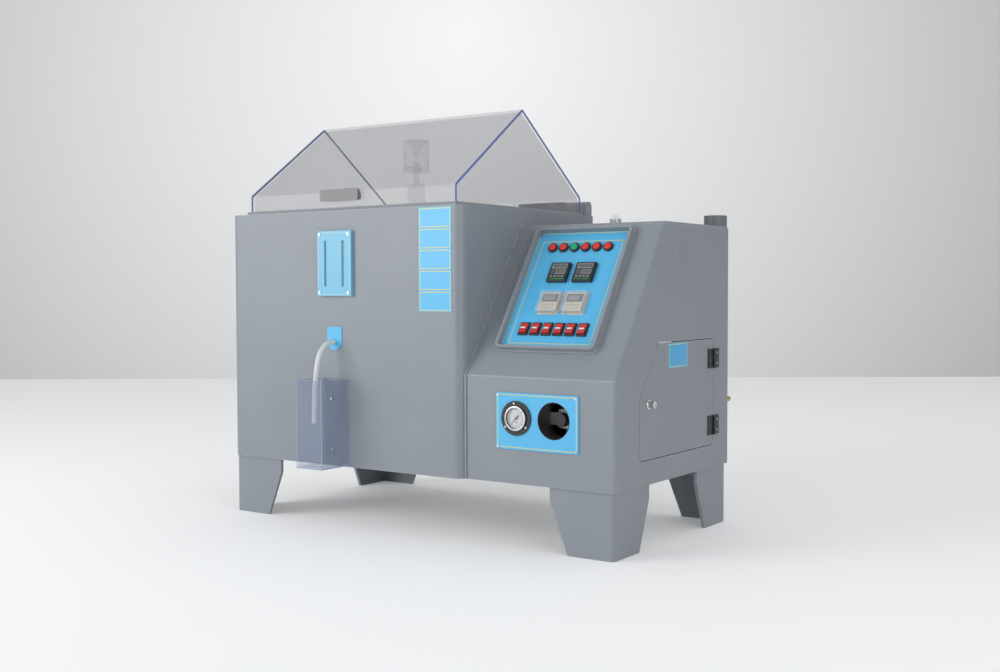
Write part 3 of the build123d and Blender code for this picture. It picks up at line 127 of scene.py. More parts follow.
def moulded_surface():
    """Fine grain and slow waviness of sheet and moulded plastic."""
    inputs = (("Grain size", 900.0), ("Wave size", 7.0))
    tree, start, end = group_tree("moulded_surface", inputs, ("Grain", "Wave", "Height"))
    place = object_place(tree)
    grain = noise_value(tree, place, start.outputs[0], 3.0)
    wave = noise_value(tree, place, start.outputs[1], 2.0)
    height = calc(tree, "ADD", calc(tree, "MULTIPLY", grain, 0.15), wave)
    for key, value in enumerate((grain, wave, height)):
        tree.links.new(value, end.inputs[key])
    return tree


def edge_mask():
    """A mask of rounded and cut edges, broken up by noise."""
    tree, start, end = group_tree("edge_mask", (("Radius", 0.002), ("Breakup", 60.0)), ("Mask",))
    soft = put(tree, "ShaderNodeBevel", {"Radius": start.outputs[0]}, samples=4).outputs[0]
    hard = put(tree, "ShaderNodeNewGeometry").outputs["Normal"]
    same = put(tree, "ShaderNodeVectorMath", {0: soft, 1: hard}, operation="DOT_PRODUCT").outputs["Value"]
    noise = noise_value(tree, object_place(tree), start.outputs[1], 4.0)
    edge = spread_values(tree, same, 0.995, 0.8)
    tree.links.new(calc(tree, "MULTIPLY", edge, spread_values(tree, noise, 0.3, 0.6), True), end.inputs[0])
    return tree


def fine_scratches():
    """Thin stretched marks from wiping."""
    tree, start, end = group_tree("fine_scratches", (("Size", 30.0),), ("Mask",))
    inputs = {"Vector": object_place(tree), "Rotation": (0.4, 0.7, 0.3), "Scale": (1.0, 14.0, 14.0)}
    turned = put(tree, "ShaderNodeMapping", inputs)
    noise = noise_value(tree, turned.outputs[0], start.outputs[0], 5.0)
    tree.links.new(spread_values(tree, noise, 0.62, 0.72), end.inputs[0])
    return tree


def dust_film():
    """Uneven dust on faces that look up."""
    tree, start, end = group_tree("dust_film", (("Amount", 0.3),), ("Mask",))
    normal = put(tree, "ShaderNodeNewGeometry").outputs["Normal"]
    noise = noise_value(tree, object_place(tree), 18.0, 6.0)
    up = spread_values(tree, put(tree, "ShaderNodeSeparateXYZ", {0: normal}).outputs[2], 0.5, 1.0)
    patches = calc(tree, "MULTIPLY", up, spread_values(tree, noise, 0.35, 0.7))
    tree.links.new(calc(tree, "MULTIPLY", patches, start.outputs[0], True), end.inputs[0])
    return tree


def border_line():
    """A thin line inside the rim of a rectangle, in metres."""
    inputs = (("Across", 0.0), ("Up", 0.0), ("Left", 0.0), ("Right", 1.0), ("Low", 0.0), ("High", 1.0),
              ("Width", 0.001))
    tree, start, end = group_tree("border_line", inputs, ("Mask",))
    across, up, left, right, low, high, width = start.outputs[:7]
    near_x = calc(tree, "MINIMUM", calc(tree, "SUBTRACT", across, left), calc(tree, "SUBTRACT", right, across))
    near_y = calc(tree, "MINIMUM", calc(tree, "SUBTRACT", up, low), calc(tree, "SUBTRACT", high, up))
    depth = calc(tree, "MINIMUM", near_x, near_y)
    inside = calc(tree, "GREATER_THAN", depth, 0.0)
    tree.links.new(calc(tree, "MULTIPLY", inside, calc(tree, "LESS_THAN", depth, width)), end.inputs[0])
    return tree


SURFACE, EDGE_MASK, SCRATCH = moulded_surface(), edge_mask(), fine_scratches()
DUST, BORDER = dust_film(), border_line()


def use(tree, group, inputs=None):
    """Adds a group node and gives its outputs."""
    return put(tree, "ShaderNodeGroup", inputs, node_tree=group).outputs


def new_material(name):
    material = bpy.data.materials.new(name)
    material.use_nodes = True
    tree = material.node_tree
    return material, tree, tree.nodes["Principled BSDF"]


def rgb(red, green, blue):
    return (red, green, blue, 1.0)


def plastic(name, colour, rough=0.4, grain=0.1, wear_and_highlight=0.35, vary=0.06, size=900.0, dust=0.25, colour_of=None,
            edge=0.0015):
    """Sheet or moulded plastic with mottling, paler edges that are partly wear and partly a painted highlight along
    bends, wipe marks and dust.
    """
    material, tree, shader = new_material(name)
    surface = use(tree, SURFACE, {"Grain size": size})
    base = colour_of(tree) if colour_of else rgb(*colour)
    dark = put(tree, "ShaderNodeHueSaturation", {"Value": 1 - vary, "Color": base}).outputs[0]
    mixed = blend_colour(tree, spread_values(tree, surface["Wave"], 0.3, 0.7), dark, base)
    # Edges go towards a paler copy of the colour: partly wear, partly a painted highlight along the bends.
    pale = put(tree, "ShaderNodeHueSaturation", {"Value": 1.6, "Saturation": 0.8, "Color": base}).outputs[0]
    worn_and_highlit = use(tree, EDGE_MASK, {"Radius": edge})["Mask"]
    mixed = blend_colour(tree, calc(tree, "MULTIPLY", worn_and_highlit, wear_and_highlight), mixed, pale)
    dusty = use(tree, DUST, {"Amount": dust})["Mask"]
    mixed = blend_colour(tree, dusty, mixed, rgb(*DUST_COLOUR))
    tree.links.new(mixed, shader.inputs["Base Color"])
    marks = use(tree, SCRATCH)["Mask"]
    grainy = spread_values(tree, surface["Grain"], 0.3, 0.7, rough - 0.05, rough + 0.05)
    marked = calc(tree, "ADD", grainy, calc(tree, "MULTIPLY", marks, 0.1))
    dulled = calc(tree, "ADD", marked, calc(tree, "MULTIPLY", dusty, 0.3), True)
    tree.links.new(dulled, shader.inputs["Roughness"])
    bump = put(tree, "ShaderNodeBump", {"Strength": grain, "Distance": 0.0008, "Height": surface["Height"]})
    tree.links.new(bump.outputs[0], shader.inputs["Normal"])
    return material


def film(name, colour, cover=0.2, rough=0.06, rim=0.45):
    """Clear sheet as a thin tinted film: more solid at its edges and at a grazing look."""
    material, tree, shader = new_material(name)
    surface = use(tree, SURFACE, {"Grain size": 500.0, "Wave size": 4.0})
    deep = rgb(*[c * 0.9 for c in colour])
    tree.links.new(blend_colour(tree, surface["Wave"], deep, rgb(*colour)), shader.inputs["Base Color"])
    marks = calc(tree, "MULTIPLY", use(tree, SCRATCH)["Mask"], 0.1)
    tree.links.new(calc(tree, "ADD", marks, rough), shader.inputs["Roughness"])
    edge = calc(tree, "MULTIPLY", use(tree, EDGE_MASK, {"Radius": 0.002})["Mask"], rim)
    facing = put(tree, "ShaderNodeLayerWeight", {"Blend": 0.5}).outputs["Facing"]
    glance = calc(tree, "POWER", facing, 5.0)
    solid = calc(tree, "ADD", calc(tree, "ADD", edge, cover), calc(tree, "MULTIPLY", glance, 0.45))
    tree.links.new(calc(tree, "ADD", solid, calc(tree, "MULTIPLY", marks, 0.3), True), shader.inputs["Alpha"])
    bump = put(tree, "ShaderNodeBump", {"Strength": 0.05, "Distance": 0.001, "Height": surface["Wave"]})
    tree.links.new(bump.outputs[0], shader.inputs["Normal"])
    return material


def metal(name, colour, rough):
    """Brushed metal with drawn lines and stains."""
    material, tree, shader = new_material(name)
    lines = put(tree, "ShaderNodeMapping", {"Vector": object_place(tree), "Scale": (1.0, 40.0, 40.0)})
    noise = noise_value(tree, lines.outputs[0], 120.0, 4.0)
    stains = spread_values(tree, use(tree, SURFACE, {"Wave size": 40.0})["Wave"], 0.35, 0.7)
    dull = rgb(*[c * 0.75 for c in colour])
    tree.links.new(blend_colour(tree, stains, dull, rgb(*colour)), shader.inputs["Base Color"])
    tree.links.new(spread_values(tree, noise, 0.2, 0.8, rough - 0.08, rough + 0.1), shader.inputs["Roughness"])
    bump = put(tree, "ShaderNodeBump", {"Strength": 0.08, "Distance": 0.0003, "Height": noise})
    tree.links.new(bump.outputs[0], shader.inputs["Normal"])
    shader.inputs["Metallic"].default_value = 1.0
    return material


BLUE, YELLOW = (0.10, 0.50, 0.84), (0.66, 0.64, 0.17)
SIGHT_BLUE, SIGHT_LINE = (0.16, 0.50, 0.70), (0.5, 0.62, 0.55)
BORDER_WIDTH = 0.0018


def bordered(tree, across, up, rects, ground=BLUE, line=YELLOW, width=BORDER_WIDTH):
    """Ground colour with line rectangles, each given as left, right, low and high in metres."""
    result = rgb(*ground)
    for left, right, low, high in rects:
        inputs = {"Across": across, "Up": up, "Left": left, "Right": right, "Low": low, "High": high,
                  "Width": width}
        result = blend_colour(tree, use(tree, BORDER, inputs)["Mask"], result, rgb(*line))
    return result


def front_border(rects, *look):
    """Lines on an upright front plate, in bench mm."""
    spans = [((x0 - BENCH_X) / 1000, (x1 - BENCH_X) / 1000, z0 / 1000, z1 / 1000) for x0, x1, z0, z1 in rects]

    def colour(tree):
        place = put(tree, "ShaderNodeSeparateXYZ", {0: object_place(tree)}).outputs
        return bordered(tree, place[0], place[2], spans, *look)
    return colour


def slope_border(rects):
    """Lines on the sloped panel, in bench mm across and mm up the slope."""
    spans = [((x0 - BENCH_X) / 1000, (x1 - BENCH_X) / 1000, v0 / 1000, v1 / 1000) for x0, x1, v0, v1 in rects]

    def colour(tree):
        bend = {0: object_place(tree), 1: bench(BENCH_X, BOX_FRONT, BEND_Z)}
        moved = put(tree, "ShaderNodeVectorMath", bend, operation="SUBTRACT").outputs[0]
        slope = {0: moved, 1: (0.0, math.sin(SLOPE), math.cos(SLOPE))}
        up = put(tree, "ShaderNodeVectorMath", slope, operation="DOT_PRODUCT").outputs["Value"]
        across = put(tree, "ShaderNodeSeparateXYZ", {0: moved}).outputs[0]
        return bordered(tree, across, up, spans)
    return colour


def third_green(tree):
    """Red lamps, with the third from the left green."""
    across = put(tree, "ShaderNodeSeparateXYZ", {0: object_place(tree)}).outputs[0]
    middle = (LAMPS_X - 0.5 * LAMP_PITCH - BENCH_X) / 1000
    near = calc(tree, "LESS_THAN", calc(tree, "ABSOLUTE", calc(tree, "SUBTRACT", across, middle)), LAMP_REACH)
    return blend_colour(tree, near, rgb(0.80, 0.035, 0.02), rgb(0.01, 0.42, 0.16))


# Border lines in bench mm: the five front labels, the service plate, the sight plate and the panel
LABEL_TOP, LABEL_PITCH, LABEL_RIM = 725.0, 45.4, 2.0
LABEL_LINES = [(587.7 + LABEL_RIM, 677.0 - LABEL_RIM, LABEL_TOP - LABEL_PITCH * (n + 1) + LABEL_RIM,
                LABEL_TOP - LABEL_PITCH * n - LABEL_RIM) for n in range(5)]
SERVICE_LINES = [(788.5, 984.0, 214.5, 326.5)]
SIGHT_LINES = [(296, 392.5, 535.5, 678)]
PANEL_LINES = [(785, 988, 80, 343), (770, 999, 71, 365)]

finish = {
    # The grey sheet's strong pale edges paint the bright highlight lines along its bends, as well as wear.
    "grey_pvc": plastic("grey_pvc", (0.262, 0.288, 0.318), rough=0.42, grain=0.12, wear_and_highlight=0.75, vary=0.05,
                        dust=0.12, edge=0.004),
    "white_pvc": plastic("white_pvc", (0.72, 0.73, 0.72), rough=0.4),
    "dark_pipe": plastic("dark_pipe", (0.16, 0.18, 0.20), rough=0.45),
    "clear_plastic": film("clear_plastic", (0.80, 0.83, 0.86), cover=0.11, rough=0.04, rim=0.6),
    "trough_clear": film("trough_clear", (0.24, 0.32, 0.50), cover=0.14, rim=0.6),
    "blue_plate": plastic("blue_plate", BLUE, rough=0.32, wear_and_highlight=0.1, vary=0.04, dust=0.05,
                          colour_of=front_border(LABEL_LINES + SERVICE_LINES)),
    "panel_blue": plastic("panel_blue", BLUE, rough=0.3, wear_and_highlight=0.1, vary=0.04, dust=0.05,
                          colour_of=slope_border(PANEL_LINES)),
    "blue_sight_plate": plastic("blue_sight_plate", SIGHT_BLUE, rough=0.3, wear_and_highlight=0.2,
                                colour_of=front_border(SIGHT_LINES, SIGHT_BLUE, SIGHT_LINE, 0.001)),
    "black_plastic": plastic("black_plastic", (0.016, 0.016, 0.018), rough=0.38, wear_and_highlight=0.5),
    "red_plastic": plastic("red_plastic", (0.62, 0.035, 0.03), rough=0.22, wear_and_highlight=0.2, grain=0.03, dust=0.05),
    "lamp_plastic": plastic("lamp_plastic", (0.8, 0.04, 0.02), rough=0.2, grain=0.02, wear_and_highlight=0.0, dust=0.0,
                            colour_of=third_green),
    "white_silicone": plastic("white_silicone", (0.70, 0.73, 0.74), rough=0.3, grain=0.05, wear_and_highlight=0.0, dust=0.05),
    "steel": metal("steel", (0.62, 0.62, 0.61), 0.3),
    "chrome": metal("chrome", (0.80, 0.80, 0.81), 0.14),
    "brass": metal("brass", (0.62, 0.45, 0.18), 0.3),
    "gauge_face": plastic("gauge_face", (0.02, 0.018, 0.016), rough=0.32, wear_and_highlight=0.3),
    "aluminium": metal("aluminium", (0.60, 0.61, 0.62), 0.4),
    "titanium": metal("titanium", (0.40, 0.40, 0.41), 0.38),
    "ivory_plastic": plastic("ivory_plastic", (0.60, 0.55, 0.45), rough=0.4, vary=0.04),
    "window_glass": plastic("window_glass", (0.10, 0.105, 0.105), rough=0.16, grain=0.02, wear_and_highlight=0.0, dust=0.0),
    "pale_window": plastic("pale_window", (0.26, 0.27, 0.27), rough=0.2, grain=0.02, wear_and_highlight=0.0, dust=0.0),
    "key_grey": plastic("key_grey", (0.20, 0.21, 0.21), rough=0.4),
    "green_strip": plastic("green_strip", (0.03, 0.22, 0.06), rough=0.35, dust=0.0),
    "dial_white": plastic("dial_white", (0.74, 0.76, 0.77), rough=0.35, grain=0.02, wear_and_highlight=0.0, dust=0.0),
    "print_dark": plastic("print_dark", (0.03, 0.03, 0.035), rough=0.4, wear_and_highlight=0.0, dust=0.0),
    "print_red": plastic("print_red", (0.6, 0.05, 0.04), rough=0.4, wear_and_highlight=0.0, dust=0.0),
    "handle_grey": plastic("handle_grey", (0.19, 0.195, 0.20), rough=0.4),
    "weld_grey": plastic("weld_grey", (0.36, 0.39, 0.42), rough=0.35, size=300.0, grain=0.4),
    "label_blue": plastic("label_blue", (0.08, 0.42, 0.74), rough=0.35, wear_and_highlight=0.05, dust=0.05),
    "label_yellow": plastic("label_yellow", YELLOW, rough=0.4, wear_and_highlight=0.05, dust=0.05),
    "edge_blue": plastic("edge_blue", (0.15, 0.20, 0.50), rough=0.25, wear_and_highlight=0.2, dust=0.0),
    # edge_pale is the trough's tint made paler, as a painted glow at its cut edges.
    "edge_pale": plastic("edge_pale", (0.34, 0.40, 0.62), rough=0.25, wear_and_highlight=0.1, dust=0.0),
    "cover_clear": film("cover_clear", (0.34, 0.34, 0.37), cover=0.165, rim=0.2),
}

record = frame["record"]
for part in record["subparts"]:
    slot_name = part["material_slot"]
    for slot in nodes[part["node"]].material_slots:
        slot.material = finish[slot_name]
special = {"panel_plate": "panel_blue", "overflow_trough": "trough_clear", "exhaust_pipe": "dark_pipe",
           "cover_handle": "handle_grey"}
for name, material_name in special.items():
    for slot in nodes[name].material_slots:
        slot.material = finish[material_name]


# Camera and drain hose come first

CAMERA_PLACE = (1.706, -2.343, 0.548)
CAMERA_DOWN, CAMERA_ROLL, CAMERA_TURN = 2.24, 0.15, math.radians(34.77)


def make_camera():
    camera = bpy.data.objects.new("camera", bpy.data.cameras.new("camera"))
    camera.location = CAMERA_PLACE
    camera.rotation_euler = (math.radians(90 - CAMERA_DOWN), math.radians(CAMERA_ROLL), CAMERA_TURN)
    camera.data.lens = 43.62
    camera.data.clip_end = 100.0
    bpy.context.collection.objects.link(camera)
    bpy.context.scene.camera = camera


def drain_hose():
    """The soft hose from the front wall into the overflow trough."""
    curve = bpy.data.curves.new("hose_tube", "CURVE")
    curve.dimensions = "3D"
    curve.bevel_depth = 0.006
    curve.bevel_resolution = 6
    curve.resolution_u = 16
    curve.use_fill_caps = True
    spline = curve.splines.new("NURBS")
    route = ((-0.206, -0.253, 0.426), (-0.206, -0.280, 0.426), (-0.2066, -0.2991, 0.4149),
             (-0.2085, -0.3118, 0.3943), (-0.211, -0.3176, 0.357), (-0.2142, -0.320, 0.304), (-0.217, -0.318, 0.242))
    spline.points.add(len(route) - 1)
    for point, place in zip(spline.points, route):
        point.co = (*place, 1.0)
    spline.order_u = 3
    spline.use_endpoint_u = True
    curve.materials.append(finish["white_silicone"])
    hose = bpy.data.objects.new("hose_tube", curve)
    bpy.context.collection.objects.link(hose)
    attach(hose, "body")
    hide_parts("drain_hose")


make_camera()
drain_hose()


# Detail pieces

def finished(name, build, material_names, body):
    """Turns a bmesh into a finished piece that rides on a body."""
    build.normal_update()
    mesh = bpy.data.meshes.new(name)
    build.to_mesh(mesh)
    build.free()
    for material_name in material_names:
        mesh.materials.append(finish[material_name])
    piece = bpy.data.objects.new(name, mesh)
    bpy.context.collection.objects.link(piece)
    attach(piece, body)
    return piece


def stack_faces(build, loops, material):
    """Closes a stack of equal loops, with both ends."""
    faces = [build.faces.new(loops[0][::-1]), build.faces.new(loops[-1])]
    for low, high in zip(loops, loops[1:]):
        for n, corner in enumerate(low):
            after = (n + 1) % len(low)
            faces.append(build.faces.new((corner, low[after], high[after], high[n])))
    for face in faces:
        face.material_index = material
    bmesh.ops.recalc_face_normals(build, faces=faces)


def slab(build, place, a, b, h, bevel, material=0):
    """A thin raised rectangle with a chamfered rim, placed by a placing function."""
    rings = [(h[0], 0.0), (h[1] - bevel, 0.0), (h[1], bevel)]
    loops = []
    for height, inset in rings:
        left, right, low, high = a[0] + inset, a[1] - inset, b[0] + inset, b[1] - inset
        corners = ((left, low), (right, low), (right, high), (left, high))
        loops.append([build.verts.new(place(p, q, height)) for p, q in corners])
    stack_faces(build, loops, material)


def disc(build, place, centre, radius, heights, sides, material):
    """A flat round plate between two heights."""
    turns = [2 * math.pi * n / sides for n in range(sides)]
    rim = [(centre[0] + radius * math.cos(turn), centre[1] + radius * math.sin(turn)) for turn in turns]
    stack_faces(build, [[build.verts.new(place(p, q, height)) for p, q in rim] for height in heights], material)


DEVICE_TOP = 11.9
CONTROLLERS_X, CONTROLLERS_V, CONTROLLER_HALF = (856.0, 919.8), 257.6, 24
TIMERS_X, TIMERS_V, TIMER_HALF = (859.7, 921.3), 179.0, 22


def device_faces(name, centres, v, half, rows, material_names):
    """Raised details on square devices, in mm.

    A row gives left, right, low, high, bottom, top, bevel, material, count and pitch.
    """
    build = bmesh.new()
    for x in centres:
        for left, right, low, high, bottom, top, bevel, material, count, pitch in rows:
            for n in range(count):
                start = x - half + n * pitch
                slab(build, on_slope, (start + left, start + right), (v - half + low, v - half + high),
                     (bottom, top), bevel, material)
    finished(name, build, material_names, "body")


def controller_faces():
    """Two displays, a status window, digits, keys and a green strip."""
    rows = ((5, 43, 31, 44, DEVICE_TOP, 12.5, 0.3, 0, 1, 0),
            (17, 43, 17, 28.5, DEVICE_TOP, 12.5, 0.3, 0, 1, 0),
            (5, 15, 17, 28.5, DEVICE_TOP, 12.3, 0.2, 1, 1, 0),
            (8.5, 15.5, 33.5, 41.5, 12.4, 12.6, 0.05, 1, 4, 8.4),
            (19.5, 23.7, 18.8, 26.8, 12.4, 12.6, 0.05, 1, 4, 5.6),
            (7, 13.6, 9, 14, DEVICE_TOP, 13.0, 0.4, 2, 4, 9.2),
            (5, 43, 3.5, 6.5, DEVICE_TOP, 12.2, 0.1, 3, 1, 0))
    device_faces("controller_faces", CONTROLLERS_X, CONTROLLERS_V, CONTROLLER_HALF, rows,
                 ("pale_window", "window_glass", "key_grey", "green_strip"))


def timer_faces():
    """A window with its display, five small keys and a line under them."""
    rows = ((2, 42, 23, 42, DEVICE_TOP, 12.5, 0.3, 0, 1, 0),
            (6, 33, 26.5, 38.5, 12.4, 12.8, 0.2, 1, 1, 0),
            (5.5, 7.7, 13, 17, DEVICE_TOP, 12.3, 0.1, 2, 5, 6.9),
            (5, 39, 6.5, 7.3, DEVICE_TOP, 12.1, 0.05, 2, 1, 0))
    device_faces("timer_faces", TIMERS_X, TIMERS_V, TIMER_HALF, rows,
                 ("window_glass", "pale_window", "key_grey"))


GAUGE_X, GAUGE_Z, DIAL_RADIUS, TICK_OUTER = 837.0, 277.0, 22.9, 20.5


def gauge_dial():
    """The white dial with plain ticks and a red spot, under the needle."""
    face = on_front(0.0)
    build = bmesh.new()
    disc(build, face, (GAUGE_X, GAUGE_Z), DIAL_RADIUS, (-10.95, -10.85), 48, 0)
    for step in range(31):
        angle = math.radians(225 - step * 9)
        inner, half = (15.5, 0.45) if step % 5 == 0 else (17.8, 0.2)
        corners = []
        for r, w in ((inner, -half), (TICK_OUTER, -half), (TICK_OUTER, half), (inner, half)):
            x = GAUGE_X + math.cos(angle) * r - math.sin(angle) * w
            z = GAUGE_Z + math.sin(angle) * r + math.cos(angle) * w
            corners.append(build.verts.new(face(x, z, -10.8)))
        build.faces.new(corners[::-1]).material_index = 1
    disc(build, face, (GAUGE_X, 268.0), 2.1, (-10.86, -10.78), 16, 2)
    finished("gauge_dial", build, ("dial_white", "print_dark", "print_red"), "body")


ROCKERS_X, ROCKER_PITCH = 887.8, 29.0


def rocker_highlights():
    """A pale bar across the middle of each rocker: a painted highlight on its glossy middle."""
    for n in range(6):
        x = ROCKERS_X + (n - 2.5) * ROCKER_PITCH
        build = bmesh.new()
        slab(build, on_slope, (x - 6.2, x + 6.2), (113.6, 117.2), (10.4, 10.95), 0.25, 0)
        finished("rocker_mark_%d" % (n + 1), build, ("dial_white",), "rocker_%d" % (n + 1))


COVER_Y, COVER_RIDGE_Y = (10.0, 531.0), 270.5
COVER_FOOT_Z, COVER_EAVE_Z, COVER_RIDGE_Z = 709.0, 774.6, 964.5
COVER_X, COVER_SHEET = (59.0, 680.0), 6.0
EAVE_BEND, RIDGE_BEND, BEND_STEPS = 9.0, 7.0, 6


def cover_profile(inward):
    """The cover's gabled outline in bench y and z, moved inward, with rounded bends."""
    roof = math.atan2(COVER_RIDGE_Z - COVER_EAVE_Z, COVER_RIDGE_Y - COVER_Y[0])
    low = COVER_EAVE_Z + inward * math.tan(roof) - inward / math.cos(roof)
    high = COVER_RIDGE_Z - inward / math.cos(roof)
    y0, y1 = COVER_Y[0] + inward, COVER_Y[1] - inward
    outline = ((y0, COVER_FOOT_Z), (y0, low), (COVER_RIDGE_Y, high), (y1, low), (y1, COVER_FOOT_Z))
    corners = [Vector(corner) for corner in outline]
    points = [tuple(corners[0])]
    for n, bend in ((1, EAVE_BEND), (2, RIDGE_BEND), (3, EAVE_BEND)):
        here, radius = corners[n], bend - inward
        a, b = (corners[n - 1] - here).normalized(), (corners[n + 1] - here).normalized()
        half = a.angle(b) / 2
        reach = radius / math.tan(half)
        centre = here + (a + b).normalized() * radius / math.sin(half)
        first, last = here + a * reach - centre, here + b * reach - centre
        for step in range(BEND_STEPS + 1):
            points.append(tuple(centre + first.lerp(last, step / BEND_STEPS).normalized() * radius))
    return points + [tuple(corners[-1])]


def cover_sheets():
    """The bent front, roof and back sheet and the two gables as one closed shell."""
    build = bmesh.new()
    left, right = COVER_X
    xs = (left, left + COVER_SHEET, right - COVER_SHEET, right)
    profiles = (cover_profile(0.0), cover_profile(COVER_SHEET))
    rows = [[[build.verts.new(bench(x, y, z)) for y, z in line] for line in profiles] for x in xs]
    outer, inner = [row[0] for row in rows], [row[1] for row in rows]

    def face(corners, material=0):
        build.faces.new(corners).material_index = material

    def strip(low, high, material=0):
        for n in range(len(low) - 1):
            face((low[n], low[n + 1], high[n + 1], high[n]), material)

    for low, high in zip(outer, outer[1:]):
        strip(low, high)
    strip(inner[1], inner[2])
    for end in (0, 3):
        strip(outer[end], inner[end], 1)
        face(inner[end])
    for end in (1, 2):
        face(inner[end])
    for end in (0, -1):
        for n in range(3):
            face((outer[n][end], outer[n + 1][end], inner[n + 1][end], inner[n][end]), 1)
    for n in (0, 2):
        face((inner[n][0], inner[n + 1][0], inner[n + 1][-1], inner[n][-1]), 1)
    bmesh.ops.recalc_face_normals(build, faces=build.faces)
    piece = finished("cover_sheets", build, ("cover_clear", "edge_blue"), "cover")
    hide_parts("cover_panels")


def weld_beads():
    """Welding rod along the seams on the walls, made of small overlapping ripples."""
    tree = bpy.data.node_groups.new("weld_ripples", "GeometryNodeTree")
    tree.interface.new_socket("Path", in_out="INPUT", socket_type="NodeSocketGeometry")
    sizes = {}
    for label, value in (("Radius", 0.0016), ("Pitch", 0.003)):
        socket = tree.interface.new_socket(label, in_out="INPUT", socket_type="NodeSocketFloat")
        socket.default_value = value
        sizes[label] = socket.identifier
    tree.interface.new_socket("Beads", in_out="OUTPUT", socket_type="NodeSocketGeometry")
    start, end = tree.nodes.new("NodeGroupInput"), tree.nodes.new("NodeGroupOutput")
    curve = put(tree, "GeometryNodeMeshToCurve", {"Mesh": start.outputs[0]})
    spacing = {"Curve": curve.outputs[0], "Length": start.outputs[2]}
    points = put(tree, "GeometryNodeCurveToPoints", spacing, mode="LENGTH").outputs[0]
    ripple = put(tree, "GeometryNodeMeshUVSphere", {"Segments": 8, "Rings": 5, "Radius": start.outputs[1]})
    placed = put(tree, "GeometryNodeInstanceOnPoints", {"Points": points, "Instance": ripple.outputs[0]})
    real = put(tree, "GeometryNodeRealizeInstances", {0: placed.outputs[0]})
    painted = put(tree, "GeometryNodeSetMaterial", {0: real.outputs[0], "Material": finish["weld_grey"]})
    tree.links.new(painted.outputs[0], end.inputs[0])
    mesh = bpy.data.meshes.new("weld_paths")
    paths = (((702.2, 285.0, 691.0), (702.2, 285.0, 728.0)), ((1069.9, 285.0, 440.0), (1069.9, 285.0, 686.0)))
    mesh.from_pydata([tuple(bench(*p)) for path in paths for p in path], [(0, 1), (2, 3)], [])
    seam = bpy.data.objects.new("weld_paths", mesh)
    bpy.context.collection.objects.link(seam)
    modifier = seam.modifiers.new("ripples", "NODES")
    modifier.node_group = tree
    modifier[sizes["Radius"]] = 0.0008
    modifier[sizes["Pitch"]] = 0.0016
    solid = bpy.data.meshes.new_from_object(seam.evaluated_get(bpy.context.evaluated_depsgraph_get()))
    bpy.data.objects.remove(seam)
    beads = bpy.data.objects.new("weld_ripples", solid)
    bpy.context.collection.objects.link(beads)
    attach(beads, "body")


def trough_edges():
    """The bright cut edges of the clear overflow trough: the sheet's blue tint, made paler as a painted glow of
    light carried along the sheet.
    """
    build = bmesh.new()
    for a, b in (((300.6, 304.4), (-89.9, -0.3)), ((374.1, 377.9), (-89.9, -0.3)),
                 ((304.4, 374.1), (-89.9, -86.1))):
        slab(build, lambda x, y, h: bench(x, y, 341.0 + h), a, b, (-0.6, 0.15), 0.1)
    upright, foot, rise = (141.5, 340.5), (141.3, 144.8), (-0.3, 0.12)
    for place, near, middle, far in ((on_front(-90.0), (300.6, 302.0), (302.0, 376.5), (376.5, 377.9)),
                                     (on_side(378.0), (-89.9, -88.4), (-88.4, -2.0), (-2.0, -0.6))):
        for a, b in ((near, upright), (far, upright), (middle, foot)):
            slab(build, place, a, b, rise, 0.1)
    finished("trough_edges", build, ("edge_pale",), "body")


def door_label():
    """The bare label on the side door: blue, with a yellow line near its rim."""
    build = bmesh.new()
    for inset, height, material in ((0.0, 0.3, 0), (2.0, 0.36, 1), (3.6, 0.42, 0)):
        slab(build, on_side(1070.0), (247.0 + inset, 338.5 - inset), (376.0 + inset, 430.0 - inset),
             (-0.1, height), 0.05, material)
    finished("door_label", build, ("label_blue", "label_yellow"), "side_door")


controller_faces()
timer_faces()
door_label()
trough_edges()
gauge_dial()
rocker_highlights()
cover_sheets()
weld_beads()


# Floor, backdrop and light

GLOW_REACH, WALL = 4.2, 7.42


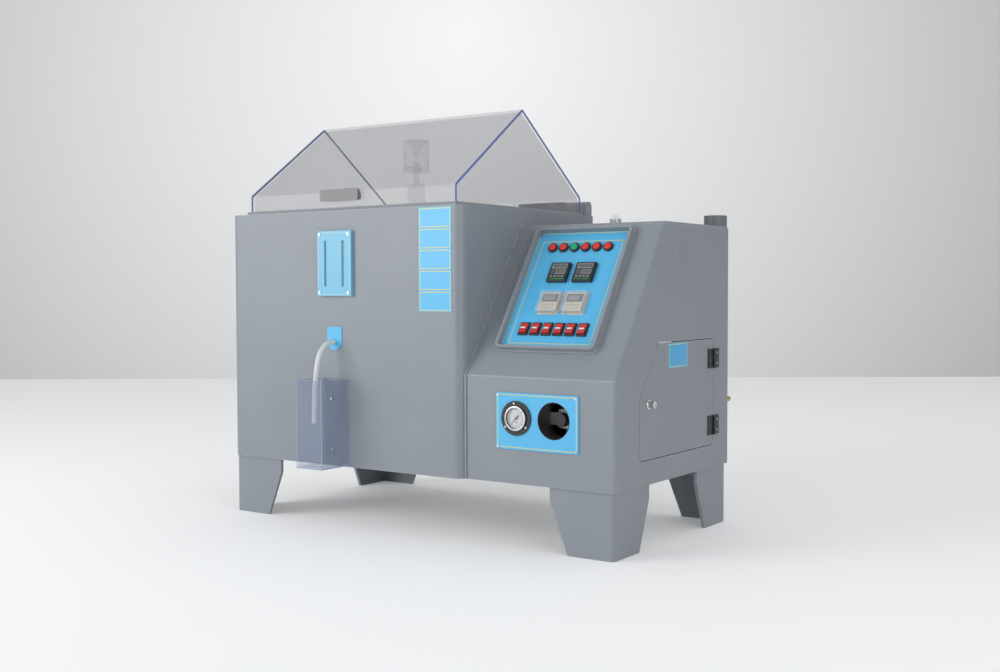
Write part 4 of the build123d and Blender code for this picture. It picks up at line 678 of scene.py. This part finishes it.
def stage_surface(name, corners, colour, glow, strengths):
    """A pale stage surface, whose glow fades from one place outwards and lights nothing else."""
    mesh = bpy.data.meshes.new(name)
    mesh.from_pydata(corners, [], [(0, 1, 2, 3)])
    surface = bpy.data.objects.new(name, mesh)
    material, tree, shader = new_material(name)
    noise = put(tree, "ShaderNodeTexNoise", {"Vector": object_place(tree), "Scale": 2.0}).outputs[0]
    darker = rgb(*[c * 0.9 for c in colour])
    tint = blend_colour(tree, calc(tree, "MULTIPLY", noise, 0.04), rgb(*colour), darker)
    tree.links.new(tint, shader.inputs["Base Color"])
    shader.inputs["Roughness"].default_value = 0.7
    path = put(tree, "ShaderNodeLightPath").outputs
    bent = calc(tree, "MAXIMUM", path["Is Glossy Ray"], path["Is Transmission Ray"])
    seen = calc(tree, "MAXIMUM", path["Is Camera Ray"], bent)
    ends = {0: object_place(tree), 1: glow}
    apart = put(tree, "ShaderNodeVectorMath", ends, operation="DISTANCE").outputs["Value"]
    shade = calc(tree, "MULTIPLY", spread_values(tree, apart, 0.0, GLOW_REACH, *strengths), seen)
    tree.links.new(blend_colour(tree, shade, rgb(0, 0, 0), rgb(1, 1, 1)), shader.inputs["Emission Color"])
    shader.inputs["Emission Strength"].default_value = 1.0
    mesh.materials.append(material)
    bpy.context.collection.objects.link(surface)


def away(distance, side, height):
    """A place at a distance from the camera along its heading, and to its right."""
    forward = Vector((-math.sin(CAMERA_TURN), math.cos(CAMERA_TURN)))
    right = Vector((math.cos(CAMERA_TURN), math.sin(CAMERA_TURN)))
    spot = Vector(CAMERA_PLACE[:2]) + forward * distance + right * side
    return (spot.x, spot.y, height)


stage_surface("floor", [away(-9, -12, 0), away(-9, 12, 0), away(WALL, 12, 0), away(WALL, -12, 0)],
              (0.93, 0.93, 0.93), (0.6, -1.4, 0.0), (0.17, 0.22))
stage_surface("backdrop", [away(WALL, -12, 0), away(WALL, 12, 0), away(WALL, 12, 7), away(WALL, -12, 7)],
              (0.70, 0.70, 0.70), away(WALL, -0.2, 2.1), (0.46, 0.02))


def area_light(name, place, aim, size, power):
    light = bpy.data.lights.new(name, "AREA")
    light.shape = "RECTANGLE"
    light.size, light.size_y = size
    light.energy = power
    lamp = bpy.data.objects.new(name, light)
    lamp.location = place
    lamp.rotation_euler = (Vector(aim) - Vector(place)).to_track_quat("-Z", "Y").to_euler()
    bpy.context.collection.objects.link(lamp)


area_light("key", (-2.4, -3.3, 1.5), (0, 0, 0.4), (2.6, 2.0), 80)
area_light("fill", (3.4, -1.8, 1.2), (0.2, 0, 0.4), (2.4, 1.8), 34)
area_light("top", (0.0, 0.6, 3.6), (0, 0, 0.5), (3.0, 3.0), 16)

world = bpy.data.worlds.new("studio")
bpy.context.scene.world = world
world.use_nodes = True
ground = world.node_tree.nodes["Background"]
ground.inputs["Color"].default_value = (0.82, 0.84, 0.87, 1.0)
ground.inputs["Strength"].default_value = 0.55

bpy.context.scene.view_settings.view_transform = "Standard"
bpy.context.scene.cycles.transparent_max_bounces = 32
